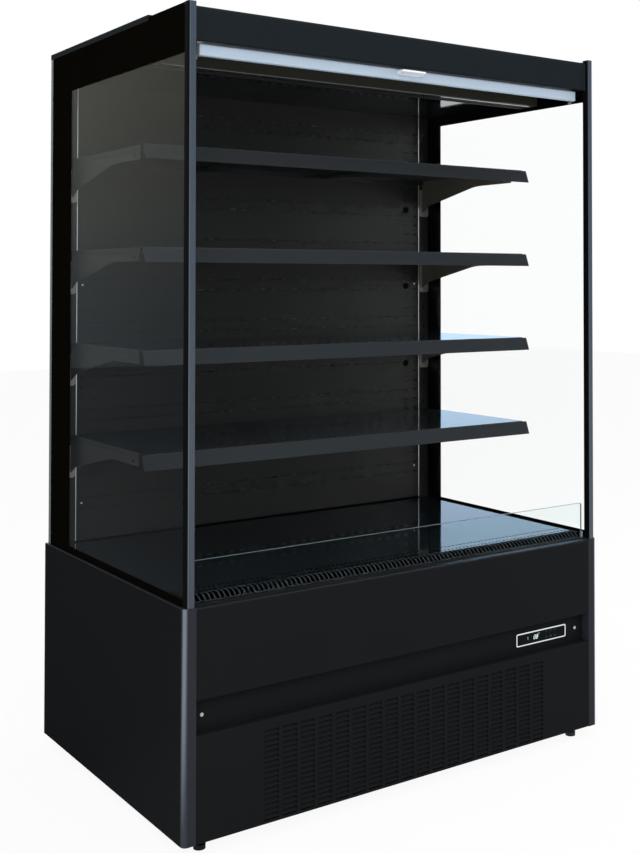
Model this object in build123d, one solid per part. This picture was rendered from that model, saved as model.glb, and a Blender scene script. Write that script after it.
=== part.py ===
"""Open multideck display fridge, 1330 wide, 888 deep and 1981 high, all in millimetres.

X runs across, Y from front to back and Z up. The origin is at the middle of the footprint, on the
floor. Every depth in this file is measured back from the front plane of the base.
"""
from build123d import *
import math
import os

# ---- overall sizes ----
WIDTH = 1330.0
DEPTH = 888.0
HEIGHT = 1981.0
BASE_TOP = 572.0
FOOT_HEIGHT = 30.0

# ---- sheet, foam and gaps ----
SHEET = 1.5
PAN_SHEET = 2.0
CASING = 1.2
FOAM = 48.0
BEND = 2.0
SEAM = 0.5
RUNNING_GAP = 0.3
CUT = 1.0

# ---- glass ends and front posts ----
GLASS_SET_IN = 8.6
GLASS_THICKNESS = 4.0
GLASS_BELOW_TOP = 6.0
GLASS_REAR_SET_IN = 20.0
POST_WIDTH = 20.0
POST_DEPTH = 21.0
POST_FRONT = 1.0
POST_PROUD = 0.1
POST_ROUND = 6.0
POST_BELOW_TOP = 5.0
POST_LIP = 8.0
POST_LIP_WIDTH = 3.7
POST_WALL = 2.0

# ---- half widths that follow ----
BASE_HALF = WIDTH / 2
GLASS_HALF = BASE_HALF - GLASS_SET_IN
GLASS_INNER = GLASS_HALF - GLASS_THICKNESS
FOAM_HALF = GLASS_INNER - SEAM
PAN_HALF = BASE_HALF - SHEET
POST_OUTER = GLASS_HALF + POST_PROUD
UPPER_POST_INNER = POST_OUTER - POST_WIDTH

# ---- depth of the well, which the apron and the control strip follow ----
DECK_TOP = BASE_TOP + 12
DECK_SHEET = 2.0
WELL_TOP = DECK_TOP - DECK_SHEET
WELL_FLOOR = 36.0
FAN_RADIUS = 82.0
FAN_ROOM = 23.0
WELL_FLOOR_TOP = WELL_TOP - 2 * (FAN_RADIUS + FAN_ROOM)
WELL_FLOOR_BOTTOM = WELL_FLOOR_TOP - WELL_FLOOR

# ---- base: corner posts, apron and louvred panel ----
BASE_POST_FACE = 33.0
BASE_POST_DEPTH = 29.0
BASE_POST_ROUND = 13.0
BASE_POST_LAP = 14.0
BASE_POST_WALL = 2.0
POST_INNER = BASE_HALF - BASE_POST_FACE
FRONT_HALF = POST_INNER - SEAM
PANEL_SET_BACK = 1.0
SIDE_RETURN = 20.0
FOLD_REACH = 20.0
APRON_BOTTOM = WELL_FLOOR_BOTTOM + 21
APRON_TOP = BASE_TOP - 2
APRON_NOSE = 8.0
APRON_TOP_DEPTH = 26.0
APRON_LIP = 14.0
STRIP_DEPTH = 30.0
STRIP_HEIGHT = 80.0
STRIP_LAP = 8.0
LEDGE_HEIGHT = APRON_BOTTOM - STRIP_HEIGHT
LOUVRE_COLUMNS = 18
LOUVRE_ROWS = 17
COLUMN_PITCH = 50.73
COLUMN_WIDTH = 40.0
LOUVRE_BOTTOM = 41.0
LOUVRE_TOP = LEDGE_HEIGHT - 24.69
LOUVRE_PITCH = (LOUVRE_TOP - LOUVRE_BOTTOM) / LOUVRE_ROWS
LOUVRE_FOOT_SLIT = 3.0
LOUVRE_REACH = 7.0
LOUVRE_BLADE = 1.8
CHEEK = 1.2

# ---- controller, set into the strip ----
CONTROLLER_WIDTH = 190.5
CONTROLLER_HEIGHT = 37.0
CONTROLLER_SET_IN = 99.5
CONTROLLER_X = BASE_HALF - CONTROLLER_SET_IN - CONTROLLER_WIDTH / 2
CONTROLLER_Z = LEDGE_HEIGHT + 37
BEZEL_RIM = 4.0
BEZEL_PROUD = 3.0
BEZEL_ROUND = 5.0
CONTROLLER_BODY_DEPTH = 58.0

# ---- chassis and feet ----
PAN_FRONT = STRIP_DEPTH + SHEET + RUNNING_GAP
PAN_REAR = DEPTH - 2 * SHEET - SEAM
PAN_RIM = 38.0
PAN_TOP = FOOT_HEIGHT + PAN_SHEET
CHASSIS_POST = 26.0
CHASSIS_POST_X = PAN_HALF - 60.5
CHASSIS_RIB = 8.0
CHASSIS_RIB_SET_IN = 319.68
FOOT_X = BASE_HALF - 65
FOOT_INSET = 45.0
FOOT_PAD_RADIUS = 14.5
FOOT_PAD_HEIGHT = 11.0
FOOT_HEXAGON = 9.5
FOOT_HEXAGON_HEIGHT = 7.0
STEM_RADIUS = 5.0
STEM_GAP = 0.1
STEM_LENGTH = 20.0
BOSS_RADIUS = 11.0
BOSS_HEIGHT = 24.0
VENTS = 20
VENT_PITCH = 30.0
VENT_WIDTH = 10.0
VENT_BOTTOM = 110.0
VENT_TOP = LEDGE_HEIGHT - 47

# ---- deck, return air grille and glass riser ----
DECK_FRONT = 131.0
DECK_LIP = 20.0
GRILLE_TOP = DECK_TOP + 1
GRILLE_KNEE_DEPTH = 57.0
GRILLE_FOOT_HEIGHT = BASE_TOP + 1
GRILLE_REAR = DECK_FRONT - 2.5
GRILLE_LIP = 12.0
GRILLE_SLOTS = 94
GRILLE_SLOT_PITCH = 13.35
GRILLE_SLOT_WIDTH = 7.0
GRILLE_SLOT_INSET = 0.6
CHANNEL_FRONT = 26.0
CHANNEL_REAR = 41.0
RISER_DEPTH = 33.0
RISER_GLASS = 6.0
RISER_HALF = UPPER_POST_INNER - 2.5
RISER_TOP = BASE_TOP + 101
RISER_BOTTOM = BASE_TOP - 10
RISER_CORNER = 6.0
GRILLE_HALF = RISER_HALF - 2

# ---- insulated well under the deck ----
WELL_FRONT_TOP = BASE_TOP - 16
WELL_WALL = 30.0
WELL_FRONT_WALL = 24.0
WELL_INNER = FOAM_HALF - WELL_WALL

# ---- rear wall, roof and canopy ----
REAR_FOAM_FRONT = DEPTH - 56
CASING_REAR = REAR_FOAM_FRONT + FOAM + CASING
GLASS_FRONT = POST_FRONT + POST_DEPTH + RUNNING_GAP
GLASS_REAR = DEPTH - GLASS_REAR_SET_IN
GLASS_TOP = HEIGHT - GLASS_BELOW_TOP
POST_TOP = HEIGHT - POST_BELOW_TOP
POST_REAR = POST_FRONT + POST_DEPTH
ROOF_HALF = GLASS_HALF + 1.6
ROOF_FRONT = 222.0
ROOF_REAR = CASING_REAR + 2
ROOF_UNDERSIDE = HEIGHT - CASING
ROOF_FLANGE_BOTTOM = HEIGHT - 15.3
ROOF_FOAM_BOTTOM = HEIGHT - 69
END_CAP = 6.0
END_CAP_PROUD = 0.8
END_CAP_DEPTH = 110.0
END_CAP_HEEL = 30.0
END_CAP_BOTTOM_DEPTH = 50.0
END_CAP_ROUND = 12.0
CANOPY_HALF = UPPER_POST_INNER - SEAM - END_CAP
CANOPY_FRONT = 12.0
CANOPY_TOP = HEIGHT - 11
CANOPY_BOTTOM = CANOPY_TOP - 82
CANOPY_NOSE = 10.0
CANOPY_LIP = 12.0
CANOPY_TUCK = 23.0
CEILING_HEIGHT = ROOF_FOAM_BOTTOM - 22

# ---- light and air discharge housing ----
LIGHT_HALF = FOAM_HALF - 10.9
LIGHT_FRONT = 224.0
LIGHT_REAR = 303.0
LIGHT_BOTTOM = CEILING_HEIGHT - 24
LAMP_DEPTH = 14.0
LAMP_HEIGHT = 13.0
LAMP_HALF = LIGHT_HALF - 29
LAMP_DROP = 3.0
LAMP_ROUND = 3.0
LAMP_PARTITION = LIGHT_FRONT + SHEET + LAMP_DEPTH + 2 * RUNNING_GAP
COMB_HEIGHT = 20.0
COMB_CELLS = 32
COMB_WALL = 3.0
COMB_LIP = 8.0
COMB_RIM = 9.0

# ---- night blind ----
BAR_HALF = CANOPY_HALF - 17
BAR_FRONT = 30.0
BAR_DEPTH = 15.0
BAR_HEIGHT = 29.0
BAR_BOTTOM = CANOPY_BOTTOM - 3 - BAR_HEIGHT
BAR_WALL = 1.8
BAR_ROUNDS = {0: 4, 1: 3, 2: 3, 3: 4}
HANDLE_HALF = 38.0
HANDLE_REACH = 27.0
HANDLE_HEIGHT = 11.0
HANDLE_GRIP = 8.0
HANDLE_GRIP_HALF = 30.0
HANDLE_FOOT = 10.0
HANDLE_ROUNDS = {1: 7, 2: 7, 5: 3, 6: 3}
HANDLE_CENTRE = BAR_BOTTOM + 18
CLOTH_HALF = BAR_HALF - 13
CLOTH = 0.6
CLOTH_DEPTH = 41.7
ROLL_RADIUS = 21.0
ROLL_DEPTH = CLOTH_DEPTH + CLOTH / 2 + RUNNING_GAP + ROLL_RADIUS
ROLL_HEIGHT = CANOPY_BOTTOM + 37
PIN_RADIUS = 4.0
PIN_GAP = 0.06
BLIND_BRACKET = 5.0
BLIND_BRACKET_X = CANOPY_HALF - 19
BLIND_BRACKET_FRONT = 48.0
BLIND_BRACKET_REAR = 82.0
BLIND_BRACKET_BOTTOM = CANOPY_BOTTOM - 38
BLIND_ARM = 11.0
BLIND_ARM_RISE = 12.0
BLIND_ARM_ROUND = 3.0
ROLL_HALF = BLIND_BRACKET_X - 3

# ---- back panel and uprights ----
UPRIGHT_WALL = 2.0
UPRIGHT_DEPTH = REAR_FOAM_FRONT - 40
BACK_PANEL_DEPTH = UPRIGHT_DEPTH - 0.4
BACK_PANEL_HALF = FOAM_HALF - 39.9
BACK_PANEL_RETURN = 20.0
BACK_PANEL_BOTTOM = DECK_TOP + 4
DECK_REAR = BACK_PANEL_DEPTH - 5.6
HOOK_SLOT_X = BACK_PANEL_HALF + 21
HOOK_SLOT_WIDTH = 4.4
HOOK_SLOT_HEIGHT = 14.0
HOOK_SLOTS_PER_SHELF = 4
UPRIGHT_END = 40.0

# ---- shelves, brackets and ticket strips ----
SHELVES = 4
LOWEST_SHELF = DECK_TOP + 307
TOP_SHELF = CEILING_HEIGHT - 219
SHELF_PITCH = (TOP_SHELF - LOWEST_SHELF) / (SHELVES - 1)
SHELF_TOPS = [LOWEST_SHELF + SHELF_PITCH * level for level in range(SHELVES)]
STRIP_HALF = FOAM_HALF - 10.4
SHELF_HALF = STRIP_HALF - 12
SHELF_FRONT = 281.0
SHELF_REAR = UPRIGHT_DEPTH - 22.5
SHELF_FLANGE = 16.0
SHELF_FLANGE_FRONT = 322.0
SHELF_NOSE = 28.0
RIB_X = 210.0
RIB_WIDTH = 34.0
RIB_HEIGHT = 12.0
RIB_FRONT = SHELF_FRONT + 30
RIB_REAR = SHELF_REAR - 20
TICKET_HEIGHT = 37.0
TICKET_DROP = 2.0
TICKET_TOP_REACH = 4.0
TICKET_BOTTOM_REACH = 18.0
TICKET_WALL = 1.7
TICKET_CLIP = 22.0
BRACKET_OUTER = SHELF_HALF - SHEET - RUNNING_GAP
BRACKET_SHEET = 2.5
BRACKET_FRONT = 330.0
BRACKET_NOSE = 36.0
BRACKET_BEND_DEPTH = 505.0
BRACKET_HEEL_DEPTH = UPRIGHT_DEPTH - 39
BRACKET_HEEL = 88.0
BRACKET_TAIL = 108.0
BRACKET_BENDS = [300, 60]
BRACKET_LEDGE = 12.0
BRACKET_HOLE_DEPTH = 361.0
BRACKET_HOLE_DROP = 25.0
BRACKET_HOLE = 4.0
HOOK_PLATE_TOP = 31.0
HOOK_PLATE_HEIGHT = 92.0
HOOK_PLATE_INNER = BACK_PANEL_HALF + 1.5
HOOK_PLATE_OUTER = FOAM_HALF - 0.4
HOOK_PLATE = 3.0
HOOK_PLATE_SLIT = 1.0
HOOK_PLATE_SLIT_END = 30.0
HOOK_PLATE_ROUND = 9.0
HOOK_PLATE_HOLE = 2.2
HOOK_PLATE_HOLE_DROP = 24.0
HOOK_PLATE_HOLE_REACH = 11.0
HOOK_PITCH = SHELF_PITCH / HOOK_SLOTS_PER_SHELF
HOOK_DROP = 45.0
HOOK_DEPTH = 3.0
HOOK_HEIGHT = 8.0
HOOK_TOOTH = 7.0

# ---- fans ----
FAN_X = 300.0
FAN_HEIGHT = WELL_FLOOR_TOP + FAN_RADIUS + 18
FAN_PLATE_DEPTH = 250.0
FAN_TIP_GAP = 3.0
FAN_BLADES = 5
FAN_BLADE_SHEET = 1.6
FAN_BLADE_GAP = 4.0
FAN_HUB_RADIUS = 20.0
FAN_PITCH = 26.0
FAN_WHEEL_DEPTH = 20.0
FAN_WHEEL_GAP = 4.0
SHAFT_RADIUS = 4.0
SHAFT_GAP = 0.06
SHAFT_REACH = 14.0
SHAFT_HOLE = 16.0
MOTOR_RADIUS = 28.0
MOTOR_LENGTH = 44.0
MOTOR_ARM = (9.0, 3.0)
MOTOR_ARM_LAP = 10.0

# ---- cooling parts ----
COIL_ROWS = 3
COIL_TUBE = 8.0
COIL_RIM = 12.0
FIN_HALF = 0.8
END_PLATE_HALF = 1.0
END_PLATE_RIM = 4.0
EVAPORATOR_HALF = WELL_INNER - 61.9
EVAPORATOR_FRONT = 420.0
EVAPORATOR_REAR = REAR_FOAM_FRONT - 132
EVAPORATOR_BOTTOM = WELL_FLOOR_TOP + 10
EVAPORATOR_TOP = BASE_TOP - 12
EVAPORATOR_FINS = 16
CONDENSER_FINS = 12
CONDENSER_LEFT = -300.0
CONDENSER_RIGHT = 250.0
CONDENSER_FRONT = 75.0
CONDENSER_REAR = 130.0
CONDENSER_BOTTOM = PAN_TOP + 12
CONDENSER_TOP = WELL_FLOOR_BOTTOM - 56
SHROUD_TOP = CONDENSER_TOP + END_PLATE_RIM
SHROUD_FRONT = CONDENSER_REAR + END_PLATE_RIM
CONDENSER_FAN_RADIUS = (CONDENSER_TOP - 84) / 2
CONDENSER_FAN_X = -25.0
CONDENSER_FAN_Z = PAN_TOP + 30 + CONDENSER_FAN_RADIUS
CONDENSER_PLATE_DEPTH = 160.0
COMPRESSOR_X = 430.0
COMPRESSOR_DEPTH = 330.0
COMPRESSOR_RADIUS = 82.0
COMPRESSOR_BOTTOM = PAN_TOP + 14
COMPRESSOR_TOP = WELL_FLOOR_BOTTOM - 86
COMPRESSOR_SHOULDER = 24.0
COMPRESSOR_PLATE = (95.0, 70.0, 5.0)
GROMMET_PLACES = (80.0, 55.0)
GROMMET_HALF = 10.0
GROMMET_HEIGHT = 12.0
STUB = 10.0
SUCTION_PIPE = 8.0
DISCHARGE_PIPE = 5.0
DISCHARGE_HEIGHT = 120.0
DISCHARGE_BEND = 30.0
PIPE_SLEEVE = 1.0
TRAY_LEFT = -480.0
TRAY_RIGHT = 160.0
TRAY_FRONT = 430.0
TRAY_REAR = 560.0
TRAY_WALL = 2.0
TRAY_HEIGHT = 50.0
TRAY_LIFT = 10.0
TRAY_FOOT_INSET = 40.0


def block(x0, x1, front, rear, low, high):
    """A box between two places across, two depths and two heights."""
    size = Box(x1 - x0, rear - front, high - low)
    return Pos((x0 + x1) / 2, (front + rear - DEPTH) / 2, (low + high) / 2) * size


def outline(points, rounds=None):
    """A closed outline; rounds gives a radius to chosen corners, by their number."""
    face = Polygon(*points, align=None)
    for corner, radius in (rounds or {}).items():
        place = Vector(*points[corner], 0)
        face = fillet(face.vertices().sort_by_distance(place)[0], radius)
    return face


def folded(points, bends, thickness=SHEET, side=Side.RIGHT):
    """The section of a folded sheet whose outer face follows the points."""
    outer = FilletPolyline(*points, radius=bends)
    return make_face(offset(outer, amount=thickness, side=side))


def along_x(section, x0, x1):
    """A section drawn as depth and height, carried across from x0 to x1."""
    return Pos(x0, -DEPTH / 2, 0) * extrude(Plane.YZ * section, amount=x1 - x0, dir=(1, 0, 0))


def along_depth(section, front, rear):
    """A section drawn as x and height, carried back from one depth to another."""
    return Pos(0, front - DEPTH / 2, 0) * extrude(Plane.XZ * section, amount=rear - front, dir=(0, 1, 0))


def along_z(section, low, high):
    """A section drawn as x and depth, carried up from one height to another."""
    return Pos(0, -DEPTH / 2, low) * extrude(section, amount=high - low, dir=(0, 0, 1))


def rod(radius, x, depth, low, high):
    """An upright round bar."""
    return Pos(x, depth - DEPTH / 2, (low + high) / 2) * Cylinder(radius, high - low)


def rod_back(radius, x, z, front, rear):
    """A round bar that runs from front to back."""
    turned = Rot(90, 0, 0) * Cylinder(radius, rear - front)
    return Pos(x, (front + rear - DEPTH) / 2, z) * turned


def rod_across(radius, depth, z, x0, x1):
    """A round bar that runs across."""
    turned = Rot(0, 90, 0) * Cylinder(radius, x1 - x0)
    return Pos((x0 + x1) / 2, depth - DEPTH / 2, z) * turned


def mirrored(shape):
    """The same piece on the other side of the cabinet."""
    return mirror(shape, about=Plane.YZ)


def both_sides(shape):
    """A piece and its mirror image, as two separate solids."""
    return Compound(children=[*shape.solids(), *mirrored(shape).solids()])


# ---- chassis ----

def foot_places():
    """Where the four feet stand, as x and depth."""
    rear = DEPTH - FOOT_INSET
    return {
        "foot_front_left": (-FOOT_X, FOOT_INSET),
        "foot_front_right": (FOOT_X, FOOT_INSET),
        "foot_rear_left": (-FOOT_X, rear),
        "foot_rear_right": (FOOT_X, rear),
    }


def base_frame():
    """Sheet pan with a folded rim, four corner posts and a threaded boss over each foot."""
    rim_top = FOOT_HEIGHT + PAN_RIM
    pan = block(-PAN_HALF, PAN_HALF, PAN_FRONT, PAN_REAR, FOOT_HEIGHT, rim_top)
    pan -= block(-PAN_HALF + PAN_SHEET, PAN_HALF - PAN_SHEET,
                 PAN_FRONT + PAN_SHEET, PAN_REAR - PAN_SHEET, PAN_TOP, rim_top + CUT)
    boss_top = FOOT_HEIGHT + BOSS_HEIGHT
    for x, depth in foot_places().values():
        pan += rod(BOSS_RADIUS, x, depth, FOOT_HEIGHT, boss_top)
        pan -= rod(STEM_RADIUS + STEM_GAP, x, depth, FOOT_HEIGHT - CUT, boss_top + CUT)
    beyond_boss = FOOT_INSET + BOSS_RADIUS + SEAM
    half = CHASSIS_POST / 2
    for side in (-1, 1):
        x = side * CHASSIS_POST_X
        for front in (beyond_boss, DEPTH - beyond_boss - CHASSIS_POST):
            post = block(x - half, x + half, front, front + CHASSIS_POST, FOOT_HEIGHT, WELL_FLOOR_BOTTOM)
            hollow = block(x - half + PAN_SHEET, x + half - PAN_SHEET, front + PAN_SHEET,
                           front + CHASSIS_POST - PAN_SHEET, PAN_TOP, WELL_FLOOR_BOTTOM + CUT)
            pan += post - hollow
    for front in (CHASSIS_RIB_SET_IN, DEPTH - CHASSIS_RIB_SET_IN):
        pan += block(-PAN_HALF + PAN_SHEET, PAN_HALF - PAN_SHEET, front, front + PAN_SHEET,
                     PAN_TOP, PAN_TOP + CHASSIS_RIB)
    return pan


def foot(x, depth):
    """Screw foot: a round pad, a hexagon for the spanner and a threaded stem."""
    pad = rod(FOOT_PAD_RADIUS, x, depth, 0, FOOT_PAD_HEIGHT)
    neck = rod(STEM_RADIUS, x, depth, FOOT_PAD_HEIGHT, FOOT_HEIGHT + STEM_LENGTH)
    hexagon = along_z(Pos(x, depth) * RegularPolygon(FOOT_HEXAGON, 6), FOOT_PAD_HEIGHT,
                      FOOT_PAD_HEIGHT + FOOT_HEXAGON_HEIGHT)
    return pad + neck + hexagon


# ---- outside of the base ----

def base_corner_post():
    """Hollow corner post with a large round on its outer corner and a lap for the side panel."""
    lap = BASE_HALF - SHEET - RUNNING_GAP
    face = outline([(POST_INNER, 0), (BASE_HALF, 0), (BASE_HALF, BASE_POST_LAP), (lap, BASE_POST_LAP),
                    (lap, BASE_POST_DEPTH), (POST_INNER, BASE_POST_DEPTH)], {1: BASE_POST_ROUND})
    wall = BASE_POST_WALL
    hollow = outline([(POST_INNER + wall, wall), (lap - wall, wall), (lap - wall, BASE_POST_DEPTH - wall),
                      (POST_INNER + wall, BASE_POST_DEPTH - wall)], {1: BASE_POST_ROUND - wall})
    shell = along_z(face, FOOT_HEIGHT, BASE_TOP)
    return shell - along_z(hollow, FOOT_HEIGHT - CUT, BASE_TOP - 2 * wall)


def base_side_panel():
    """Side sheet with a folded shelf along its top, on which the glass end stands."""
    ledge = GLASS_INNER - SEAM
    sheet = folded([(ledge, BASE_TOP), (BASE_HALF, BASE_TOP), (BASE_HALF, FOOT_HEIGHT)], [BEND])
    panel = along_depth(sheet, BASE_POST_LAP + RUNNING_GAP, DEPTH)
    ledge_front = block(ledge - CUT, PAN_HALF, 0, BASE_POST_DEPTH + RUNNING_GAP,
                        BASE_TOP - BEND - SHEET, BASE_TOP + CUT)
    rear_return = block(BASE_HALF - SIDE_RETURN, BASE_HALF - SHEET / 2, DEPTH - SHEET, DEPTH,
                        FOOT_HEIGHT, BASE_TOP - SHEET)
    return panel - ledge_front + rear_return


def front_apron():
    """Plain upper front: one sheet rolled over a soft nose into the riser channel."""
    face = PANEL_SET_BACK
    section = folded([(STRIP_DEPTH - RUNNING_GAP, APRON_BOTTOM), (face, APRON_BOTTOM), (face, APRON_TOP),
                      (APRON_TOP_DEPTH, APRON_TOP), (APRON_TOP_DEPTH, APRON_TOP - APRON_LIP)],
                     [BEND + 1, APRON_NOSE, BEND])
    return along_x(section, -FRONT_HALF, FRONT_HALF)


def louvre_columns():
    """The middle of each louvre column across the panel."""
    first = -COLUMN_PITCH * (LOUVRE_COLUMNS - 1) / 2
    return [first + COLUMN_PITCH * column for column in range(LOUVRE_COLUMNS)]


def louvre_blade(x, low):
    """One pressed blade: its foot is in the face of the sheet and its head leans inwards."""
    face = PANEL_SET_BACK
    head = face + LOUVRE_REACH
    high = low + LOUVRE_PITCH
    section = outline([(face, low), (head, high - LOUVRE_BLADE), (head, high), (face, low + LOUVRE_BLADE)])
    half = COLUMN_WIDTH / 2
    return along_x(section, x - half, x + half)


def louvre_panel():
    """Lower front: louvred face, ledge and the control strip, folded from one sheet."""
    face = PANEL_SET_BACK
    section = folded([(FOLD_REACH, FOOT_HEIGHT), (face, FOOT_HEIGHT), (face, LEDGE_HEIGHT),
                      (STRIP_DEPTH, LEDGE_HEIGHT), (STRIP_DEPTH, APRON_BOTTOM + STRIP_LAP)],
                     [BEND, BEND + 0.5, BEND])
    panel = along_x(section, -FRONT_HALF, FRONT_HALF)
    half = COLUMN_WIDTH / 2
    top = LOUVRE_TOP
    bottom = LOUVRE_BOTTOM - LOUVRE_FOOT_SLIT
    openings = []
    pressings = []
    for x in louvre_columns():
        openings.append(block(x - half, x + half, face - CUT, face + SHEET + CUT, bottom, top))
        for side in (-1, 1):
            edges = sorted((x + side * half, x + side * (half + CHEEK)))
            pressings.append(block(*edges, face + SHEET / 2, face + LOUVRE_REACH, bottom, top))
        pressings += [louvre_blade(x, LOUVRE_BOTTOM + LOUVRE_PITCH * row) for row in range(LOUVRE_ROWS)]
    half_window = CONTROLLER_WIDTH / 2 - BEZEL_RIM
    half_height = CONTROLLER_HEIGHT / 2 - BEZEL_RIM
    window = block(CONTROLLER_X - half_window, CONTROLLER_X + half_window, STRIP_DEPTH - CUT,
                   STRIP_DEPTH + SHEET + CUT, CONTROLLER_Z - half_height, CONTROLLER_Z + half_height)
    return panel - [*openings, window] + pressings


def rear_base_panel():
    """Rear closing sheet with a row of upright vents for the warm air."""
    sheet = block(-PAN_HALF, PAN_HALF, PAN_REAR, PAN_REAR + SHEET, FOOT_HEIGHT, BASE_TOP - SHEET - SEAM)
    first = -VENT_PITCH * (VENTS - 1) / 2 - VENT_WIDTH / 2
    vents = [block(first + VENT_PITCH * n, first + VENT_PITCH * n + VENT_WIDTH, PAN_REAR - CUT,
                   PAN_REAR + SHEET + CUT, VENT_BOTTOM, VENT_TOP) for n in range(VENTS)]
    return sheet - vents


def controller_bezel():
    """Bright frame around the controller, standing a little proud of the strip."""
    rim = RectangleRounded(CONTROLLER_WIDTH, CONTROLLER_HEIGHT, BEZEL_ROUND)
    inner = RectangleRounded(CONTROLLER_WIDTH - 2 * BEZEL_RIM, CONTROLLER_HEIGHT - 2 * BEZEL_RIM, BEZEL_ROUND / 2)
    ring = Pos(CONTROLLER_X, CONTROLLER_Z) * (rim - inner)
    return along_depth(ring, STRIP_DEPTH - BEZEL_PROUD, STRIP_DEPTH)


def controller_body():
    """Touch panel and the case behind it; the keys are flat and don't travel."""
    inset = 2 * (BEZEL_RIM + RUNNING_GAP)
    case = RectangleRounded(CONTROLLER_WIDTH - inset, CONTROLLER_HEIGHT - inset, BEZEL_ROUND / 2)
    return along_depth(Pos(CONTROLLER_X, CONTROLLER_Z) * case, STRIP_DEPTH - BEZEL_PROUD / 2,
                       STRIP_DEPTH + CONTROLLER_BODY_DEPTH)


# ---- insulated body ----

def insulated_well():
    """Foamed trough under the deck: floor, two sides and a lower front wall."""
    front = PAN_FRONT
    rear = REAR_FOAM_FRONT
    shoulder = GRILLE_KNEE_DEPTH + CUT
    floor = block(-FOAM_HALF, FOAM_HALF, front, rear, WELL_FLOOR_BOTTOM, WELL_FLOOR_TOP)
    front_wall = block(-FOAM_HALF, FOAM_HALF, front, front + WELL_FRONT_WALL, WELL_FLOOR_BOTTOM, WELL_FRONT_TOP)
    side = block(WELL_INNER, FOAM_HALF, shoulder, rear, WELL_FLOOR_BOTTOM, WELL_TOP)
    side += block(WELL_INNER, FOAM_HALF, front, shoulder, WELL_FLOOR_BOTTOM, WELL_FRONT_TOP)
    return floor + front_wall + side + mirrored(side)


def rear_wall():
    """Foamed rear wall from the well to the roof."""
    return block(-FOAM_HALF, FOAM_HALF, REAR_FOAM_FRONT, REAR_FOAM_FRONT + FOAM,
                 WELL_FLOOR_BOTTOM, ROOF_UNDERSIDE)


def rear_casing():
    """Outer sheet of the rear wall, returned at both sides behind the glass."""
    half = ROOF_HALF
    inner = half - CASING
    sheet = block(-half, half, CASING_REAR - CASING, CASING_REAR, BASE_TOP + SEAM, ROOF_FLANGE_BOTTOM - SEAM)
    side = block(inner, half, GLASS_REAR, CASING_REAR, BASE_TOP + SEAM, ROOF_FLANGE_BOTTOM - SEAM)
    return sheet + side + mirrored(side)


def roof_panel():
    """Foamed roof, rebated at its front for the canopy sheet."""
    tuck = ROOF_FRONT + CANOPY_TUCK
    foam = block(-FOAM_HALF, FOAM_HALF, LIGHT_FRONT, REAR_FOAM_FRONT, ROOF_FOAM_BOTTOM, ROOF_UNDERSIDE)
    return foam - block(-ROOF_HALF, ROOF_HALF, 0, tuck + SEAM, CANOPY_TOP - SHEET, HEIGHT)


def roof_cover():
    """Sheet lid whose flanges lap the glass ends, the rear casing and the canopy."""
    lid = block(-ROOF_HALF, ROOF_HALF, ROOF_FRONT, ROOF_REAR, ROOF_FLANGE_BOTTOM, HEIGHT)
    top_edges = lid.edges().filter_by(Axis.Z, reverse=True).group_by(Axis.Z)[-1]
    lid = fillet(top_edges, BEND)
    inner = ROOF_HALF - CASING
    lid -= block(-inner, inner, ROOF_FRONT + CASING, ROOF_REAR - CASING, 0, ROOF_UNDERSIDE)
    lid -= block(-inner, inner, 0, ROOF_FRONT + CASING + CUT, 0, CANOPY_TOP)
    corner = block(FOAM_HALF, inner, 0, ROOF_FRONT + CASING + CUT, 0, GLASS_TOP + SEAM)
    return lid - corner - mirrored(corner)


def canopy():
    """Front fascia of the canopy, folded back over its top to the roof cover."""
    section = folded([(CANOPY_FRONT + CANOPY_LIP, CANOPY_BOTTOM), (CANOPY_FRONT, CANOPY_BOTTOM),
                      (CANOPY_FRONT, CANOPY_TOP), (ROOF_FRONT + CANOPY_TUCK, CANOPY_TOP)],
                     [BEND + 1, CANOPY_NOSE])
    fascia = along_x(section, -CANOPY_HALF, CANOPY_HALF)
    wing_front = GLASS_FRONT + POST_LIP + CUT
    wing = block(CANOPY_HALF - CUT, FOAM_HALF, wing_front, ROOF_FRONT + CANOPY_TUCK, CANOPY_TOP - SHEET, CANOPY_TOP)
    notch = block(CANOPY_HALF, CANOPY_HALF + END_CAP + SEAM, 0, CANOPY_FRONT + END_CAP_DEPTH + SEAM,
                  CANOPY_TOP - 2 * SHEET, CANOPY_TOP + CUT)
    wing -= notch
    return fascia + wing + mirrored(wing)


def canopy_end_cap():
    """Moulded end plate of the canopy, just proud of its outline."""
    front = CANOPY_FRONT - END_CAP_PROUD
    low = CANOPY_BOTTOM - END_CAP_PROUD
    high = CANOPY_TOP + END_CAP_PROUD
    rear = CANOPY_FRONT + END_CAP_DEPTH
    section = outline([(front, low), (front, high), (rear, high), (rear, high - END_CAP_HEEL),
                       (front + END_CAP_BOTTOM_DEPTH, low)], {1: CANOPY_NOSE, 4: END_CAP_ROUND})
    return along_x(section, CANOPY_HALF, CANOPY_HALF + END_CAP)


def post():
    """Hollow front post: round outer corner, rounded head and a lip behind for the glass."""
    outer = POST_OUTER
    inner = UPPER_POST_INNER
    face = outline([(inner, POST_FRONT), (outer, POST_FRONT), (outer, POST_REAR), (inner, POST_REAR)],
                   {0: POST_ROUND / 3, 1: POST_ROUND})
    wall = POST_WALL
    hollow = outline([(inner + wall, POST_FRONT + wall), (outer - wall, POST_FRONT + wall),
                      (outer - wall, POST_REAR - wall), (inner + wall, POST_REAR - wall)], {1: POST_ROUND - wall})
    shell = along_z(face, BASE_TOP, POST_TOP) - along_z(hollow, BASE_TOP + wall, POST_TOP - 4 * wall)
    lip_outer = GLASS_INNER - RUNNING_GAP
    lip = block(lip_outer - POST_LIP_WIDTH, lip_outer, POST_REAR - CUT, POST_REAR + POST_LIP,
                BASE_TOP, POST_TOP - 2 * POST_WALL)
    return shell + lip


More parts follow.
